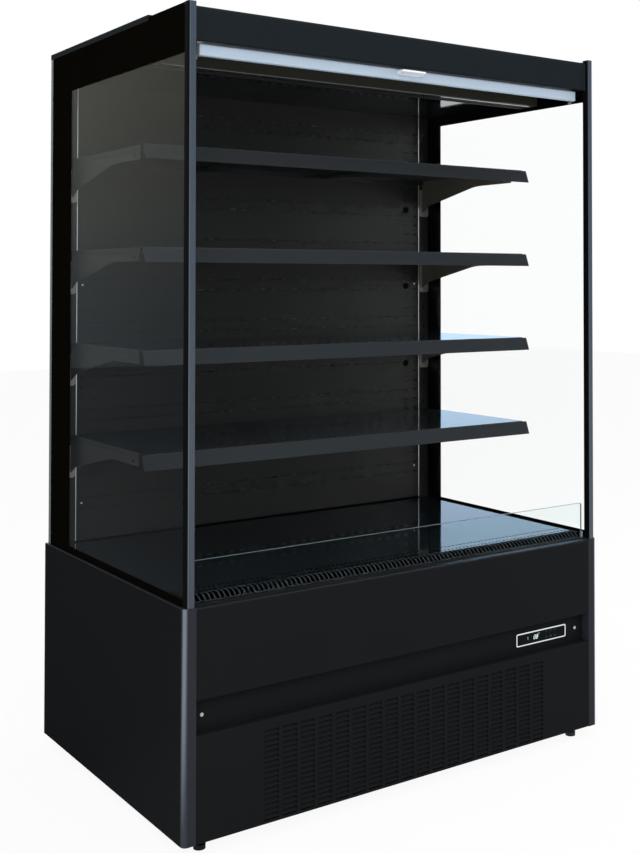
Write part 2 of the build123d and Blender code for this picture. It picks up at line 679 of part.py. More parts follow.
def side_glass():
    """Tempered glass end, standing on the base."""
    return block(GLASS_INNER, GLASS_HALF, GLASS_FRONT, GLASS_REAR, BASE_TOP, GLASS_TOP)


# ---- inside ----

def inner_back_panel():
    """Sheet in front of the air duct, returned at both sides on the uprights."""
    half = BACK_PANEL_HALF
    high = CEILING_HEIGHT - RUNNING_GAP
    sheet = block(-half, half, BACK_PANEL_DEPTH, BACK_PANEL_DEPTH + SHEET, BACK_PANEL_BOTTOM, high)
    side = block(half - SHEET, half, BACK_PANEL_DEPTH, BACK_PANEL_DEPTH + BACK_PANEL_RETURN,
                 BACK_PANEL_BOTTOM, high)
    return sheet + side + mirrored(side)


def hook_heights():
    """Heights of the hook slots up an upright, in step with the shelves."""
    first = LOWEST_SHELF - HOOK_DROP
    below = math.floor((first - WELL_TOP - UPRIGHT_END) / HOOK_PITCH)
    above = math.floor((ROOF_FOAM_BOTTOM - UPRIGHT_END - first) / HOOK_PITCH)
    return [first + HOOK_PITCH * step for step in range(-below, above + 1)]


def shelf_upright():
    """Channel upright with a row of slots for the shelf hooks."""
    inner = BACK_PANEL_HALF
    outer = FOAM_HALF
    high = ROOF_FOAM_BOTTOM
    channel = block(inner, outer, UPRIGHT_DEPTH, REAR_FOAM_FRONT, WELL_TOP, high)
    channel -= block(inner + UPRIGHT_WALL, outer - UPRIGHT_WALL, UPRIGHT_DEPTH + UPRIGHT_WALL,
                     REAR_FOAM_FRONT + CUT, WELL_TOP - CUT, high + CUT)
    half = HOOK_SLOT_WIDTH / 2
    slots = [block(HOOK_SLOT_X - half, HOOK_SLOT_X + half, UPRIGHT_DEPTH - CUT,
                   UPRIGHT_DEPTH + UPRIGHT_WALL + CUT, z - HOOK_SLOT_HEIGHT / 2, z + HOOK_SLOT_HEIGHT / 2)
             for z in hook_heights()]
    return channel - slots


def shelf_bracket(top):
    """Right-hand bracket: a curved blade, a ledge under the shelf and a hook plate behind."""
    under = top - SHEET
    rear = UPRIGHT_DEPTH - RUNNING_GAP
    plate_front = rear - HOOK_PLATE
    lower_edge = FilletPolyline((BRACKET_FRONT, top - BRACKET_NOSE), (BRACKET_BEND_DEPTH, top - BRACKET_NOSE),
                                (BRACKET_HEEL_DEPTH, top - BRACKET_HEEL), (plate_front, top - BRACKET_TAIL),
                                radius=BRACKET_BENDS)
    rest = Polyline((plate_front, top - BRACKET_TAIL), (plate_front, under),
                    (BRACKET_FRONT, under), (BRACKET_FRONT, top - BRACKET_NOSE))
    blade_inner = BRACKET_OUTER - BRACKET_SHEET
    blade = along_x(make_face([*lower_edge.edges(), *rest.edges()]), blade_inner, BRACKET_OUTER)
    blade -= rod_across(BRACKET_HOLE, BRACKET_HOLE_DEPTH, top - BRACKET_HOLE_DROP,
                        blade_inner - CUT, BRACKET_OUTER + CUT)
    ledge = block(blade_inner - BRACKET_LEDGE, blade_inner + CUT, BRACKET_FRONT, SHELF_REAR - 2 * SHEET,
                  under - SHEET, under)
    plate_top = top - HOOK_PLATE_TOP
    plate_low = plate_top - HOOK_PLATE_HEIGHT
    corners = [(HOOK_PLATE_INNER, plate_low), (HOOK_PLATE_OUTER, plate_low),
               (HOOK_PLATE_OUTER, plate_top), (HOOK_PLATE_INNER, plate_top)]
    plate = along_depth(outline(corners, {0: HOOK_PLATE_ROUND, 1: HOOK_PLATE_ROUND}), plate_front, rear)
    plate -= block(HOOK_SLOT_X - HOOK_PLATE_SLIT, HOOK_SLOT_X + HOOK_PLATE_SLIT, plate_front - CUT, rear + CUT,
                   plate_low + HOOK_PLATE_SLIT_END, plate_top - HOOK_PLATE_SLIT_END)
    for x in (HOOK_SLOT_X - HOOK_PLATE_HOLE_REACH, HOOK_SLOT_X + HOOK_PLATE_HOLE_REACH):
        plate -= rod_back(HOOK_PLATE_HOLE, x, plate_top - HOOK_PLATE_HOLE_DROP, plate_front - CUT, rear + CUT)
    half = HOOK_SLOT_WIDTH / 2 - RUNNING_GAP
    behind = UPRIGHT_DEPTH + UPRIGHT_WALL + RUNNING_GAP
    bracket = blade + ledge + plate
    for z in (top - HOOK_DROP, top - HOOK_DROP - HOOK_PITCH):
        low = z - HOOK_SLOT_HEIGHT / 2 + RUNNING_GAP
        high = low + HOOK_HEIGHT
        bracket += block(HOOK_SLOT_X - half, HOOK_SLOT_X + half, rear - CUT, behind + HOOK_DEPTH, low, high)
        bracket += block(HOOK_SLOT_X - half, HOOK_SLOT_X + half, behind, behind + HOOK_DEPTH, low - HOOK_TOOTH, high)
    return bracket


def shelf_brackets():
    """The brackets of one side, one below each shelf."""
    return Compound(children=[shelf_bracket(top).solid() for top in SHELF_TOPS])


def shelf(top):
    """Folded steel shelf: a flat tray with side flanges, a front flange and two stiffening ribs."""
    under = top - SHEET
    tray = block(-SHELF_HALF, SHELF_HALF, SHELF_FRONT, SHELF_REAR, under, top)
    side = block(SHELF_HALF - SHEET, SHELF_HALF, SHELF_FLANGE_FRONT, SHELF_REAR, top - SHELF_FLANGE, top)
    nose = block(-SHELF_HALF, SHELF_HALF, SHELF_FRONT, SHELF_FRONT + SHEET, top - SHELF_NOSE, top)
    inboard = BRACKET_OUTER - BRACKET_SHEET - BRACKET_LEDGE - SEAM
    rear = block(-inboard, inboard, SHELF_REAR - SHEET, SHELF_REAR, top - SHELF_FLANGE, top)
    tray += [side, mirrored(side), nose, rear]
    for x in (-RIB_X, RIB_X):
        rib = block(x - RIB_WIDTH / 2, x + RIB_WIDTH / 2, RIB_FRONT, RIB_REAR, under - RIB_HEIGHT, under)
        rib -= block(x - RIB_WIDTH / 2 + SHEET, x + RIB_WIDTH / 2 - SHEET, SHELF_FRONT,
                     SHELF_REAR, under - RIB_HEIGHT + SHEET, under)
        tray += rib
    return tray


def ticket_strip(top):
    """Price rail clipped on the shelf front, leaning out towards its lower edge."""
    high = top - TICKET_DROP
    low = high - TICKET_HEIGHT
    back = SHELF_FRONT
    face_top = back - TICKET_TOP_REACH
    face_low = back - TICKET_BOTTOM_REACH
    wall = TICKET_WALL
    section = outline([(face_top, high), (back, high), (back, high - TICKET_CLIP), (back - wall, high - TICKET_CLIP),
                       (back - wall, high - wall), (face_top + 0.7 * wall, high - wall),
                       (face_low + wall, low), (face_low, low)])
    return along_x(section, -STRIP_HALF, STRIP_HALF)


def deck_pan():
    """Flat display deck with a front lip, resting on the well."""
    half = FOAM_HALF - SEAM
    deck = block(-half, half, DECK_FRONT, DECK_REAR, WELL_TOP, DECK_TOP)
    lip_half = WELL_INNER - SEAM
    return deck + block(-lip_half, lip_half, DECK_FRONT, DECK_FRONT + DECK_SHEET, DECK_TOP - DECK_LIP, DECK_TOP)


def return_air_grille():
    """Return air grille: a flat sheet that slopes down to the riser, with a row of slots."""
    front = CHANNEL_REAR
    section = folded([(front, WELL_FRONT_TOP + 2), (front, GRILLE_FOOT_HEIGHT), (GRILLE_KNEE_DEPTH, GRILLE_TOP),
                      (GRILLE_REAR, GRILLE_TOP)], [BEND, BEND + 1])
    grille = along_x(section, -GRILLE_HALF, GRILLE_HALF)
    lip_half = WELL_INNER - SEAM
    grille += block(-lip_half, lip_half, GRILLE_REAR - SHEET, GRILLE_REAR, GRILLE_TOP - GRILLE_LIP, GRILLE_TOP)
    for x in (WELL_INNER, -GRILLE_HALF):
        grille += block(x, x + GRILLE_HALF - WELL_INNER, GRILLE_KNEE_DEPTH + BEND + CUT, GRILLE_REAR,
                        WELL_TOP, GRILLE_TOP - SHEET / 2)
    first = -GRILLE_SLOT_PITCH * (GRILLE_SLOTS - 1) / 2
    half = GRILLE_SLOT_WIDTH / 2
    slots = [block(first + GRILLE_SLOT_PITCH * n - half, first + GRILLE_SLOT_PITCH * n + half,
                   front + SHEET + GRILLE_SLOT_INSET, GRILLE_KNEE_DEPTH - CUT, RISER_BOTTOM + 5, GRILLE_TOP + 3)
             for n in range(GRILLE_SLOTS)]
    return grille - slots


def riser_channel():
    """Channel section that holds the foot of the glass riser."""
    groove = RISER_GLASS / 2 + RUNNING_GAP
    section = outline([(CHANNEL_FRONT, WELL_FRONT_TOP), (CHANNEL_REAR, WELL_FRONT_TOP), (CHANNEL_REAR, BASE_TOP),
                       (RISER_DEPTH + groove, BASE_TOP), (RISER_DEPTH + groove, RISER_BOTTOM),
                       (RISER_DEPTH - groove, RISER_BOTTOM), (RISER_DEPTH - groove, BASE_TOP),
                       (CHANNEL_FRONT, BASE_TOP)])
    return along_x(section, -FRONT_HALF, FRONT_HALF)


def glass_riser():
    """Low glass along the front of the deck, with eased upper corners."""
    half = RISER_HALF
    section = outline([(-half, RISER_BOTTOM), (half, RISER_BOTTOM), (half, RISER_TOP), (-half, RISER_TOP)],
                      {2: RISER_CORNER, 3: RISER_CORNER})
    return along_depth(section, RISER_DEPTH - RISER_GLASS / 2, RISER_DEPTH + RISER_GLASS / 2)


def ceiling_liner():
    """Gloss ceiling under the air duct, hung from the roof by its side flanges."""
    half = FOAM_HALF
    sheet = block(-half, half, LIGHT_REAR + RUNNING_GAP, BACK_PANEL_DEPTH, CEILING_HEIGHT, CEILING_HEIGHT + SHEET)
    side = block(half - SHEET, half, LIGHT_REAR + RUNNING_GAP, BACK_PANEL_DEPTH, CEILING_HEIGHT, ROOF_FOAM_BOTTOM)
    return sheet + side + mirrored(side)


def light_housing():
    """Housing behind the canopy: fascia, lamp recess and the lips that hold the air comb."""
    half = LIGHT_HALF
    low = LIGHT_BOTTOM
    high = ROOF_FOAM_BOTTOM
    wall = LAMP_PARTITION
    lamp_top = low - LAMP_DROP + LAMP_HEIGHT
    housing = block(-half, half, LIGHT_FRONT, LIGHT_FRONT + SHEET, low, high)
    housing += block(-half, half, wall, wall + SHEET, low, high)
    housing += block(-half, half, LIGHT_FRONT, wall + SHEET, lamp_top, lamp_top + SHEET)
    housing += block(-half, half, wall, wall + SHEET + COMB_LIP, low, low + SHEET)
    housing += block(-half, half, LIGHT_REAR - SHEET - COMB_LIP, LIGHT_REAR, low, low + SHEET)
    housing += block(-half, half, LIGHT_REAR - SHEET, LIGHT_REAR, low, CEILING_HEIGHT - RUNNING_GAP)
    end = block(half - SHEET, half, LIGHT_FRONT, LIGHT_REAR, low, high)
    return housing + end + mirrored(end)


def led_lamp():
    """Lamp strip in the recess, its lower edge just below the housing."""
    low = LIGHT_BOTTOM - LAMP_DROP
    front = LIGHT_FRONT + SHEET + RUNNING_GAP
    rear = front + LAMP_DEPTH
    section = outline([(front, low), (rear, low), (rear, low + LAMP_HEIGHT), (front, low + LAMP_HEIGHT)],
                      {0: LAMP_ROUND, 1: LAMP_ROUND})
    return along_x(section, -LAMP_HALF, LAMP_HALF)


def honeycomb_discharge():
    """Air comb that lies on the lips of the housing and straightens the cold air."""
    half = LIGHT_HALF - SHEET - SEAM
    front = LAMP_PARTITION + SHEET + RUNNING_GAP
    rear = LIGHT_REAR - SHEET - RUNNING_GAP
    low = LIGHT_BOTTOM + SHEET
    comb = block(-half, half, front, rear, low, low + COMB_HEIGHT)
    pitch = (2 * half - COMB_WALL) / COMB_CELLS
    first = -half + COMB_WALL
    cells = [block(first + pitch * n, first + pitch * (n + 1) - COMB_WALL, front + COMB_RIM,
                   rear - COMB_RIM, low - CUT, low + COMB_HEIGHT + CUT) for n in range(COMB_CELLS)]
    return comb - cells


# ---- night blind ----

def blind_bracket():
    """Side plate that carries a pin of the roller and hangs from the canopy sheet."""
    x0 = BLIND_BRACKET_X
    x1 = x0 + BLIND_BRACKET
    front = BLIND_BRACKET_FRONT
    section = outline([(front, BLIND_BRACKET_BOTTOM), (front + BLIND_ARM, BLIND_BRACKET_BOTTOM),
                       (front + BLIND_ARM, CANOPY_BOTTOM),
                       (BLIND_BRACKET_REAR, CANOPY_BOTTOM + BLIND_ARM_RISE),
                       (BLIND_BRACKET_REAR, CANOPY_TOP - SHEET), (front, CANOPY_TOP - SHEET)],
                      {0: BLIND_ARM_ROUND, 1: BLIND_ARM_ROUND})
    plate = along_x(section, x0, x1)
    return plate - rod_across(PIN_RADIUS + PIN_GAP, ROLL_DEPTH, ROLL_HEIGHT, x0 - CUT, x1 + CUT)


def blind_roller():
    """Spring roller with the rolled cloth on it and a pin at each end."""
    pin_half = BLIND_BRACKET_X + BLIND_BRACKET - SEAM
    roll = rod_across(ROLL_RADIUS, ROLL_DEPTH, ROLL_HEIGHT, -ROLL_HALF, ROLL_HALF)
    return roll + rod_across(PIN_RADIUS, ROLL_DEPTH, ROLL_HEIGHT, -pin_half, pin_half)


def blind_bar():
    """Pull bar along the lower edge of the blind: a hollow section, open at both ends."""
    top = BAR_BOTTOM + BAR_HEIGHT
    rear = BAR_FRONT + BAR_DEPTH
    section = outline([(BAR_FRONT, BAR_BOTTOM), (rear, BAR_BOTTOM), (rear, top), (BAR_FRONT, top)],
                      BAR_ROUNDS)
    wall = BAR_WALL
    hollow = outline([(BAR_FRONT + wall, BAR_BOTTOM + wall), (rear - wall, BAR_BOTTOM + wall),
                      (rear - wall, top - wall), (BAR_FRONT + wall, top - wall)])
    return along_x(section - hollow, -BAR_HALF, BAR_HALF)


def blind_handle():
    """Finger loop in the middle of the bar."""
    rear = BAR_FRONT
    front = rear - HANDLE_REACH
    foot_inner = HANDLE_HALF - HANDLE_FOOT
    grip_half = HANDLE_GRIP_HALF
    bend = HANDLE_GRIP + CUT
    loop = outline([(-HANDLE_HALF, rear), (-grip_half, front), (grip_half, front), (HANDLE_HALF, rear),
                    (foot_inner, rear), (grip_half - bend, front + HANDLE_GRIP),
                    (-grip_half + bend, front + HANDLE_GRIP), (-foot_inner, rear)], HANDLE_ROUNDS)
    return along_z(loop, HANDLE_CENTRE - HANDLE_HEIGHT / 2, HANDLE_CENTRE + HANDLE_HEIGHT / 2)


def blind_cloth():
    """Cloth between the roller and the bar, with the blind up."""
    return block(-CLOTH_HALF, CLOTH_HALF, CLOTH_DEPTH - CLOTH / 2, CLOTH_DEPTH + CLOTH / 2,
                 BAR_BOTTOM + BAR_HEIGHT, ROLL_HEIGHT)


# ---- fans and cooling parts ----

def fan_wheel(radius, x, z, plate_depth):
    """Moulded fan wheel on its shaft; the shaft runs in the motor behind."""
    front = plate_depth - FAN_WHEEL_DEPTH
    rear = plate_depth - FAN_WHEEL_GAP
    hub = rod_back(FAN_HUB_RADIUS, x, z, front, rear)
    shaft = rod_back(SHAFT_RADIUS, x, z, rear, plate_depth + SHEET + SHAFT_REACH)
    root = FAN_HUB_RADIUS - FAN_BLADE_GAP
    tip = radius - FAN_BLADE_GAP
    blade = Polygon((root, -0.4 * FAN_HUB_RADIUS), (0.9 * tip, -0.24 * radius), (tip, -0.1 * radius),
                    (tip, 0.14 * radius), (0.9 * tip, 0.3 * radius), (root, 0.5 * FAN_HUB_RADIUS), align=None)
    blade = Pos(0, 0, -FAN_BLADE_SHEET / 2) * extrude(blade, amount=FAN_BLADE_SHEET)
    wheel = hub + shaft
    middle = Pos(x, (front + rear - DEPTH) / 2, z)
    for n in range(FAN_BLADES):
        turn = Rot(90, 0, 0) * Rot(0, 0, 360 / FAN_BLADES * n) * Rot(FAN_PITCH, 0, 0)
        wheel += middle * turn * blade
    return wheel


def fan_opening(radius, x, z, plate_depth):
    """The round opening of a fan in its plate."""
    return rod_back(radius + FAN_TIP_GAP, x, z, plate_depth - CUT, plate_depth + SHEET + CUT)


def fan_motor(radius, x, z, plate_depth):
    """Motor with three arms, screwed to the back of the fan plate."""
    front = plate_depth + SHEET
    motor = rod_back(MOTOR_RADIUS, x, z, front, front + MOTOR_LENGTH)
    reach = radius + FAN_TIP_GAP + MOTOR_ARM_LAP
    width, thickness = MOTOR_ARM
    arm = Pos(reach / 2 + MOTOR_RADIUS / 4, 0, thickness / 2) * Box(reach - MOTOR_RADIUS / 2, width, thickness)
    for n in range(3):
        turn = Rot(-90, 0, 0) * Rot(0, 0, 120 * n + 30)
        motor += Pos(x, front - DEPTH / 2, z) * turn * arm
    return motor - rod_back(SHAFT_RADIUS + SHAFT_GAP, x, z, front - CUT, front + SHAFT_HOLE)


def fan_plate():
    """Upright sheet across the well with a round opening for each fan."""
    plate = block(-WELL_INNER, WELL_INNER, FAN_PLATE_DEPTH, FAN_PLATE_DEPTH + SHEET, WELL_FLOOR_TOP, WELL_TOP - SEAM)
    for x in (-FAN_X, FAN_X):
        plate -= fan_opening(FAN_RADIUS, x, FAN_HEIGHT, FAN_PLATE_DEPTH)
    return plate


def fan_motors():
    """The two motors behind the fan plate."""
    motors = [fan_motor(FAN_RADIUS, x, FAN_HEIGHT, FAN_PLATE_DEPTH).solid() for x in (-FAN_X, FAN_X)]
    return Compound(children=motors)


def finned_coil(x0, x1, front, rear, low, high, fins, foot):
    """Coil: level rows of tube, drawn as flat bars, with upright fins between two end plates."""
    rise = (high - low) / (COIL_ROWS + 1)
    rows = [low + rise * n for n in range(1, COIL_ROWS + 1)]
    core = [block(x0, x1, front + COIL_RIM, rear - COIL_RIM, z - COIL_TUBE / 2, z + COIL_TUBE / 2) for z in rows]
    pitch = (x1 - x0) / (fins + 1)
    places = [x0 + pitch * n for n in range(1, fins + 1)]
    plates = [block(x - FIN_HALF, x + FIN_HALF, front, rear, low, high) for x in places]
    left, right = [block(x - END_PLATE_HALF, x + END_PLATE_HALF, front - END_PLATE_RIM, rear + END_PLATE_RIM,
                         foot, high + END_PLATE_RIM) for x in (x0, x1)]
    return left + [right, *core, *plates]


def evaporator_coil():
    """Evaporator across the well, behind the fans."""
    return finned_coil(-EVAPORATOR_HALF, EVAPORATOR_HALF, EVAPORATOR_FRONT, EVAPORATOR_REAR,
                       EVAPORATOR_BOTTOM, EVAPORATOR_TOP, EVAPORATOR_FINS, WELL_FLOOR_TOP)


def condenser_coil():
    """Condenser behind the louvres."""
    return finned_coil(CONDENSER_LEFT, CONDENSER_RIGHT, CONDENSER_FRONT, CONDENSER_REAR,
                       CONDENSER_BOTTOM, CONDENSER_TOP, CONDENSER_FINS, PAN_TOP)


def condenser_fan_frame():
    """Shroud of the condenser fan, with its motor on three arms."""
    place = (CONDENSER_FAN_RADIUS, CONDENSER_FAN_X, CONDENSER_FAN_Z, CONDENSER_PLATE_DEPTH)
    rear = CONDENSER_PLATE_DEPTH + SHEET
    frame = block(CONDENSER_LEFT, CONDENSER_RIGHT, CONDENSER_PLATE_DEPTH, rear, PAN_TOP, SHROUD_TOP)
    for x in (CONDENSER_LEFT, CONDENSER_RIGHT - SHEET):
        frame += block(x, x + SHEET, SHROUD_FRONT, rear, PAN_TOP, SHROUD_TOP)
    frame -= fan_opening(*place)
    return frame + fan_motor(*place)


def compressor():
    """Hermetic compressor on a foot plate with four grommets, and its two pipe stubs."""
    body = rod(COMPRESSOR_RADIUS, COMPRESSOR_X, COMPRESSOR_DEPTH, COMPRESSOR_BOTTOM, COMPRESSOR_TOP)
    body = chamfer(body.edges().filter_by(GeomType.CIRCLE), COMPRESSOR_SHOULDER)
    across, along, thickness = COMPRESSOR_PLATE
    grommet_top = PAN_TOP + GROMMET_HEIGHT
    body += block(COMPRESSOR_X - across, COMPRESSOR_X + across, COMPRESSOR_DEPTH - along,
                  COMPRESSOR_DEPTH + along, grommet_top, grommet_top + thickness)
    half = GROMMET_HALF
    for side in (-1, 1):
        for end in (-1, 1):
            x = COMPRESSOR_X + side * GROMMET_PLACES[0]
            depth = COMPRESSOR_DEPTH + end * GROMMET_PLACES[1]
            body += block(x - half, x + half, depth - half, depth + half, PAN_TOP, grommet_top)
    stub_front = COMPRESSOR_DEPTH - COMPRESSOR_RADIUS - STUB
    body += rod(SUCTION_PIPE + PIPE_SLEEVE, COMPRESSOR_X, COMPRESSOR_DEPTH,
                COMPRESSOR_TOP - CUT, COMPRESSOR_TOP + STUB)
    return body + rod_back(DISCHARGE_PIPE + PIPE_SLEEVE, COMPRESSOR_X, DISCHARGE_HEIGHT,
                           stub_front, COMPRESSOR_DEPTH)


def pipe(points, bends, radius):
    """A pipe of straight runs and tangent bends; points are x, depth and height."""
    path = FilletPolyline(*[(x, depth - DEPTH / 2, z) for x, depth, z in points], radius=bends)
    start = Plane(origin=path @ 0, z_dir=path % 0)
    return sweep(start * Circle(radius), path=path)


def refrigerant_pipes():
    """Suction pipe up to the well and discharge pipe forward to the condenser."""
    suction = rod(SUCTION_PIPE, COMPRESSOR_X, COMPRESSOR_DEPTH, COMPRESSOR_TOP + STUB, WELL_FLOOR_BOTTOM)
    stub_front = COMPRESSOR_DEPTH - COMPRESSOR_RADIUS - STUB
    turn = (CONDENSER_FRONT + CONDENSER_REAR) / 2
    discharge = pipe([(COMPRESSOR_X, stub_front, DISCHARGE_HEIGHT), (COMPRESSOR_X, turn, DISCHARGE_HEIGHT),
                      (CONDENSER_RIGHT + END_PLATE_HALF, turn, DISCHARGE_HEIGHT)],
                     DISCHARGE_BEND, DISCHARGE_PIPE)
    return Compound(children=[suction.solid(), discharge.solid()])


def condensate_tray():
    """Open tray that catches the meltwater, on the chassis pan."""
    floor = PAN_TOP + TRAY_LIFT
    wall = TRAY_WALL
    tray = block(TRAY_LEFT, TRAY_RIGHT, TRAY_FRONT, TRAY_REAR, floor, floor + TRAY_HEIGHT)
    tray -= block(TRAY_LEFT + wall, TRAY_RIGHT - wall, TRAY_FRONT + wall, TRAY_REAR - wall,
                  floor + wall, floor + TRAY_HEIGHT + CUT)
    return tray + block(TRAY_LEFT, TRAY_RIGHT, TRAY_FRONT + TRAY_FOOT_INSET, TRAY_REAR - TRAY_FOOT_INSET,
                        PAN_TOP, floor + CUT)


# ---- all the pieces ----

def nodes():
    """Every piece of the fridge by its node name."""
    pieces = {
        "base_frame": base_frame(),
        "base_side_panel_left": mirrored(base_side_panel()),
        "base_side_panel_right": base_side_panel(),
        "base_corner_posts": both_sides(base_corner_post()),
        "front_apron": front_apron(),
        "louvre_panel": louvre_panel(),
        "rear_base_panel": rear_base_panel(),
        "controller_bezel": controller_bezel(),
        "controller_body": controller_body(),
        "insulated_well": insulated_well(),
        "rear_wall": rear_wall(),
        "rear_casing": rear_casing(),
        "roof_panel": roof_panel(),
        "roof_cover": roof_cover(),
        "canopy": canopy(),
        "canopy_end_caps": both_sides(canopy_end_cap()),
        "post_left": mirrored(post()),
        "post_right": post(),
        "side_glass_left": mirrored(side_glass()),
        "side_glass_right": side_glass(),
        "inner_back_panel": inner_back_panel(),
        "shelf_uprights": both_sides(shelf_upright()),
        "shelf_brackets_left": mirrored(shelf_brackets()),
        "shelf_brackets_right": shelf_brackets(),
        "deck_pan": deck_pan(),
        "return_air_grille": return_air_grille(),
        "riser_channel": riser_channel(),
        "glass_riser": glass_riser(),
        "ceiling_liner": ceiling_liner(),
        "light_housing": light_housing(),
        "led_lamp": led_lamp(),
        "honeycomb_discharge": honeycomb_discharge(),
        "blind_brackets": both_sides(blind_bracket()),
        "blind_roller": blind_roller(),
        "blind_bar": blind_bar(),
        "blind_handle": blind_handle(),
        "blind_cloth": blind_cloth(),
        "fan_plate": fan_plate(),
        "fan_motors": fan_motors(),
        "fan_wheel_left": fan_wheel(FAN_RADIUS, -FAN_X, FAN_HEIGHT, FAN_PLATE_DEPTH),
        "fan_wheel_right": fan_wheel(FAN_RADIUS, FAN_X, FAN_HEIGHT, FAN_PLATE_DEPTH),
        "evaporator_coil": evaporator_coil(),
        "condenser_coil": condenser_coil(),
        "condenser_fan_frame": condenser_fan_frame(),
        "condenser_fan_wheel": fan_wheel(CONDENSER_FAN_RADIUS, CONDENSER_FAN_X, CONDENSER_FAN_Z,
                                         CONDENSER_PLATE_DEPTH),
        "compressor": compressor(),
        "refrigerant_pipes": refrigerant_pipes(),
        "condensate_tray": condensate_tray(),
    }
    for name, (x, depth) in foot_places().items():
        pieces[name] = foot(x, depth)
    for number, top in enumerate(reversed(SHELF_TOPS), start=1):
        pieces[f"shelf_{number}"] = shelf(top)
        pieces[f"ticket_strip_{number}"] = ticket_strip(top)
    return pieces


os.makedirs("parts", exist_ok=True)
for node, piece in nodes().items():
    export_step(piece, f"parts/{node}.step")
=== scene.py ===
"""Open multideck display fridge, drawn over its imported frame."""
from math import cos, pi, radians, sin

import bpy
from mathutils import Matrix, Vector


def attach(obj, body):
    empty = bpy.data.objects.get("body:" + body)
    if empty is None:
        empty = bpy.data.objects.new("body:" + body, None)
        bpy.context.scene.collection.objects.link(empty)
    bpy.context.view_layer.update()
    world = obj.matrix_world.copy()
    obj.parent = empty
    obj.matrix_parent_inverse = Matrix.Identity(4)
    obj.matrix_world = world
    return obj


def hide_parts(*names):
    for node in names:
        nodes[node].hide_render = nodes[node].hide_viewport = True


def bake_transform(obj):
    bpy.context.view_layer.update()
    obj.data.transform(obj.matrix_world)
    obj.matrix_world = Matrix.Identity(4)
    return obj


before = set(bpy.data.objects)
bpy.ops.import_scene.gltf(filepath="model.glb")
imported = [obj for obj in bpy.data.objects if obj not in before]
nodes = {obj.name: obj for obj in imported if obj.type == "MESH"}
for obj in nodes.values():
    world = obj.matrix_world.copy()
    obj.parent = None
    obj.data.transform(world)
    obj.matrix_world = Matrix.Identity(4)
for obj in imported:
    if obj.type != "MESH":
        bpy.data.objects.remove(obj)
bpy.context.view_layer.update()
bpy.ops.object.select_all(action="DESELECT")
bpy.context.scene.view_settings.view_transform = "Standard"


# ---- screw feet ----
# Four levelling feet of injection-moulded black nylon, each with its pad, hexagon and stem in one piece.
# They screw up into bosses under the pan.

def linear(hex_colour, share=1.0):
    """The linear colour of an sRGB hex value; share makes it lighter or darker."""
    parts = [int(hex_colour[n:n + 2], 16) / 255 for n in (1, 3, 5)]
    return [share * (c / 12.92 if c <= 0.04045 else ((c + 0.055) / 1.055) ** 2.4) for c in parts] + [1.0]


def feed(owner, node, inputs):
    """Gives a node's sockets values, or links them to the outputs of other nodes."""
    for socket, value in inputs.items():
        if isinstance(value, bpy.types.NodeSocket):
            owner.node_tree.links.new(value, node.inputs[socket])
        else:
            node.inputs[socket].default_value = value


def add(owner, kind, inputs=None, **settings):
    """Adds a node with its settings and links to a material or world."""
    node = owner.node_tree.nodes.new(kind)
    for name, value in settings.items():
        setattr(node, name, value)
    feed(owner, node, inputs or {})
    return node


def new_finish(name):
    """A new material and its shader."""
    made = bpy.data.materials.new(name)
    made.use_nodes = True
    return made, made.node_tree.nodes["Principled BSDF"]


# The sockets of a Mix node between colours: its share, the two colours, and the mix that comes out.
SHARE, FIRST, SECOND, MIX = 0, 6, 7, 2


def surface(name, colour, roughness, patches=0.06, patch=180.0, grain=4.0, depth=0.02, stretch=(1, 1, 1),
            **sockets):
    """A finish whose tone changes a little from patch to patch and whose surface has a fine relief.

    Patches is the share by which the tone changes. Patch, grain and depth are in millimetres: the size of a
    patch, and the relief's spacing and height. Stretch draws it into lines along the axis with the small number.
    """
    made, shader = new_finish(name)
    place = add(made, "ShaderNodeTexCoord").outputs["Object"]
    drift = add(made, "ShaderNodeTexNoise", {"Vector": place, "Scale": 1000 / patch, "Detail": 3.0})
    tone = add(made, "ShaderNodeMix", {SHARE: drift.outputs["Fac"], FIRST: linear(colour, 1 - patches),
                                       SECOND: linear(colour, 1 + patches)}, data_type="RGBA")
    drawn = add(made, "ShaderNodeMapping", {"Vector": place, "Scale": stretch}).outputs["Vector"]
    ripple = add(made, "ShaderNodeTexNoise", {"Vector": drawn, "Scale": 1000 / grain, "Detail": 2.0})
    rough = add(made, "ShaderNodeMapRange",
                {"Value": ripple.outputs["Fac"], "From Min": 0.3, "From Max": 0.7,
                 "To Min": roughness * 0.85, "To Max": min(1.0, roughness * 1.15)})
    bump = add(made, "ShaderNodeBump",
               {"Height": ripple.outputs["Fac"], "Strength": 1.0, "Distance": depth / 1000})
    feed(made, shader, {"Base Color": tone.outputs[MIX], "Roughness": rough.outputs["Result"],
                        "Normal": bump.outputs["Normal"]})
    feed(made, shader, {socket.replace("_", " "): value for socket, value in sockets.items()})
    return made


def dress(material, slot, *names):
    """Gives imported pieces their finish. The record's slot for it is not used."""
    for name in names:
        nodes[name].data.materials.clear()
        nodes[name].data.materials.append(material)


# Moulded nylon: an even black with a low sheen and a fine spark-eroded texture, drawn at 1.5 mm.
foot_nylon = surface("moulded_nylon_black", "#121213", 0.5, grain=1.5, depth=0.03, Specular_IOR_Level=0.3)
dress(foot_nylon, "foot_black", "foot_front_left", "foot_front_right", "foot_rear_left", "foot_rear_right")


# ---- chassis ----
# Welded frame of folded steel: a pan, four corner posts and cross ribs, all powder-coated satin black.
# It carries the well above and the condensing unit inside.

# Polyester powder coat over steel: dark, satin, with an orange peel that is really 2 mm and is drawn at 5 mm.
chassis_coat = surface("powder_coat_chassis", "#1b1b1d", 0.5, grain=5.0, depth=0.03, Specular_IOR_Level=0.2)
dress(chassis_coat, "chassis_paint", "base_frame", "condenser_fan_frame")


# ---- base panels ----
# Folded 1.5 mm steel in satin black powder coat: two sides, the apron, the louvred panel and the corner posts.
# Their cut edges are eased by the coat, which gathers there and catches the light.

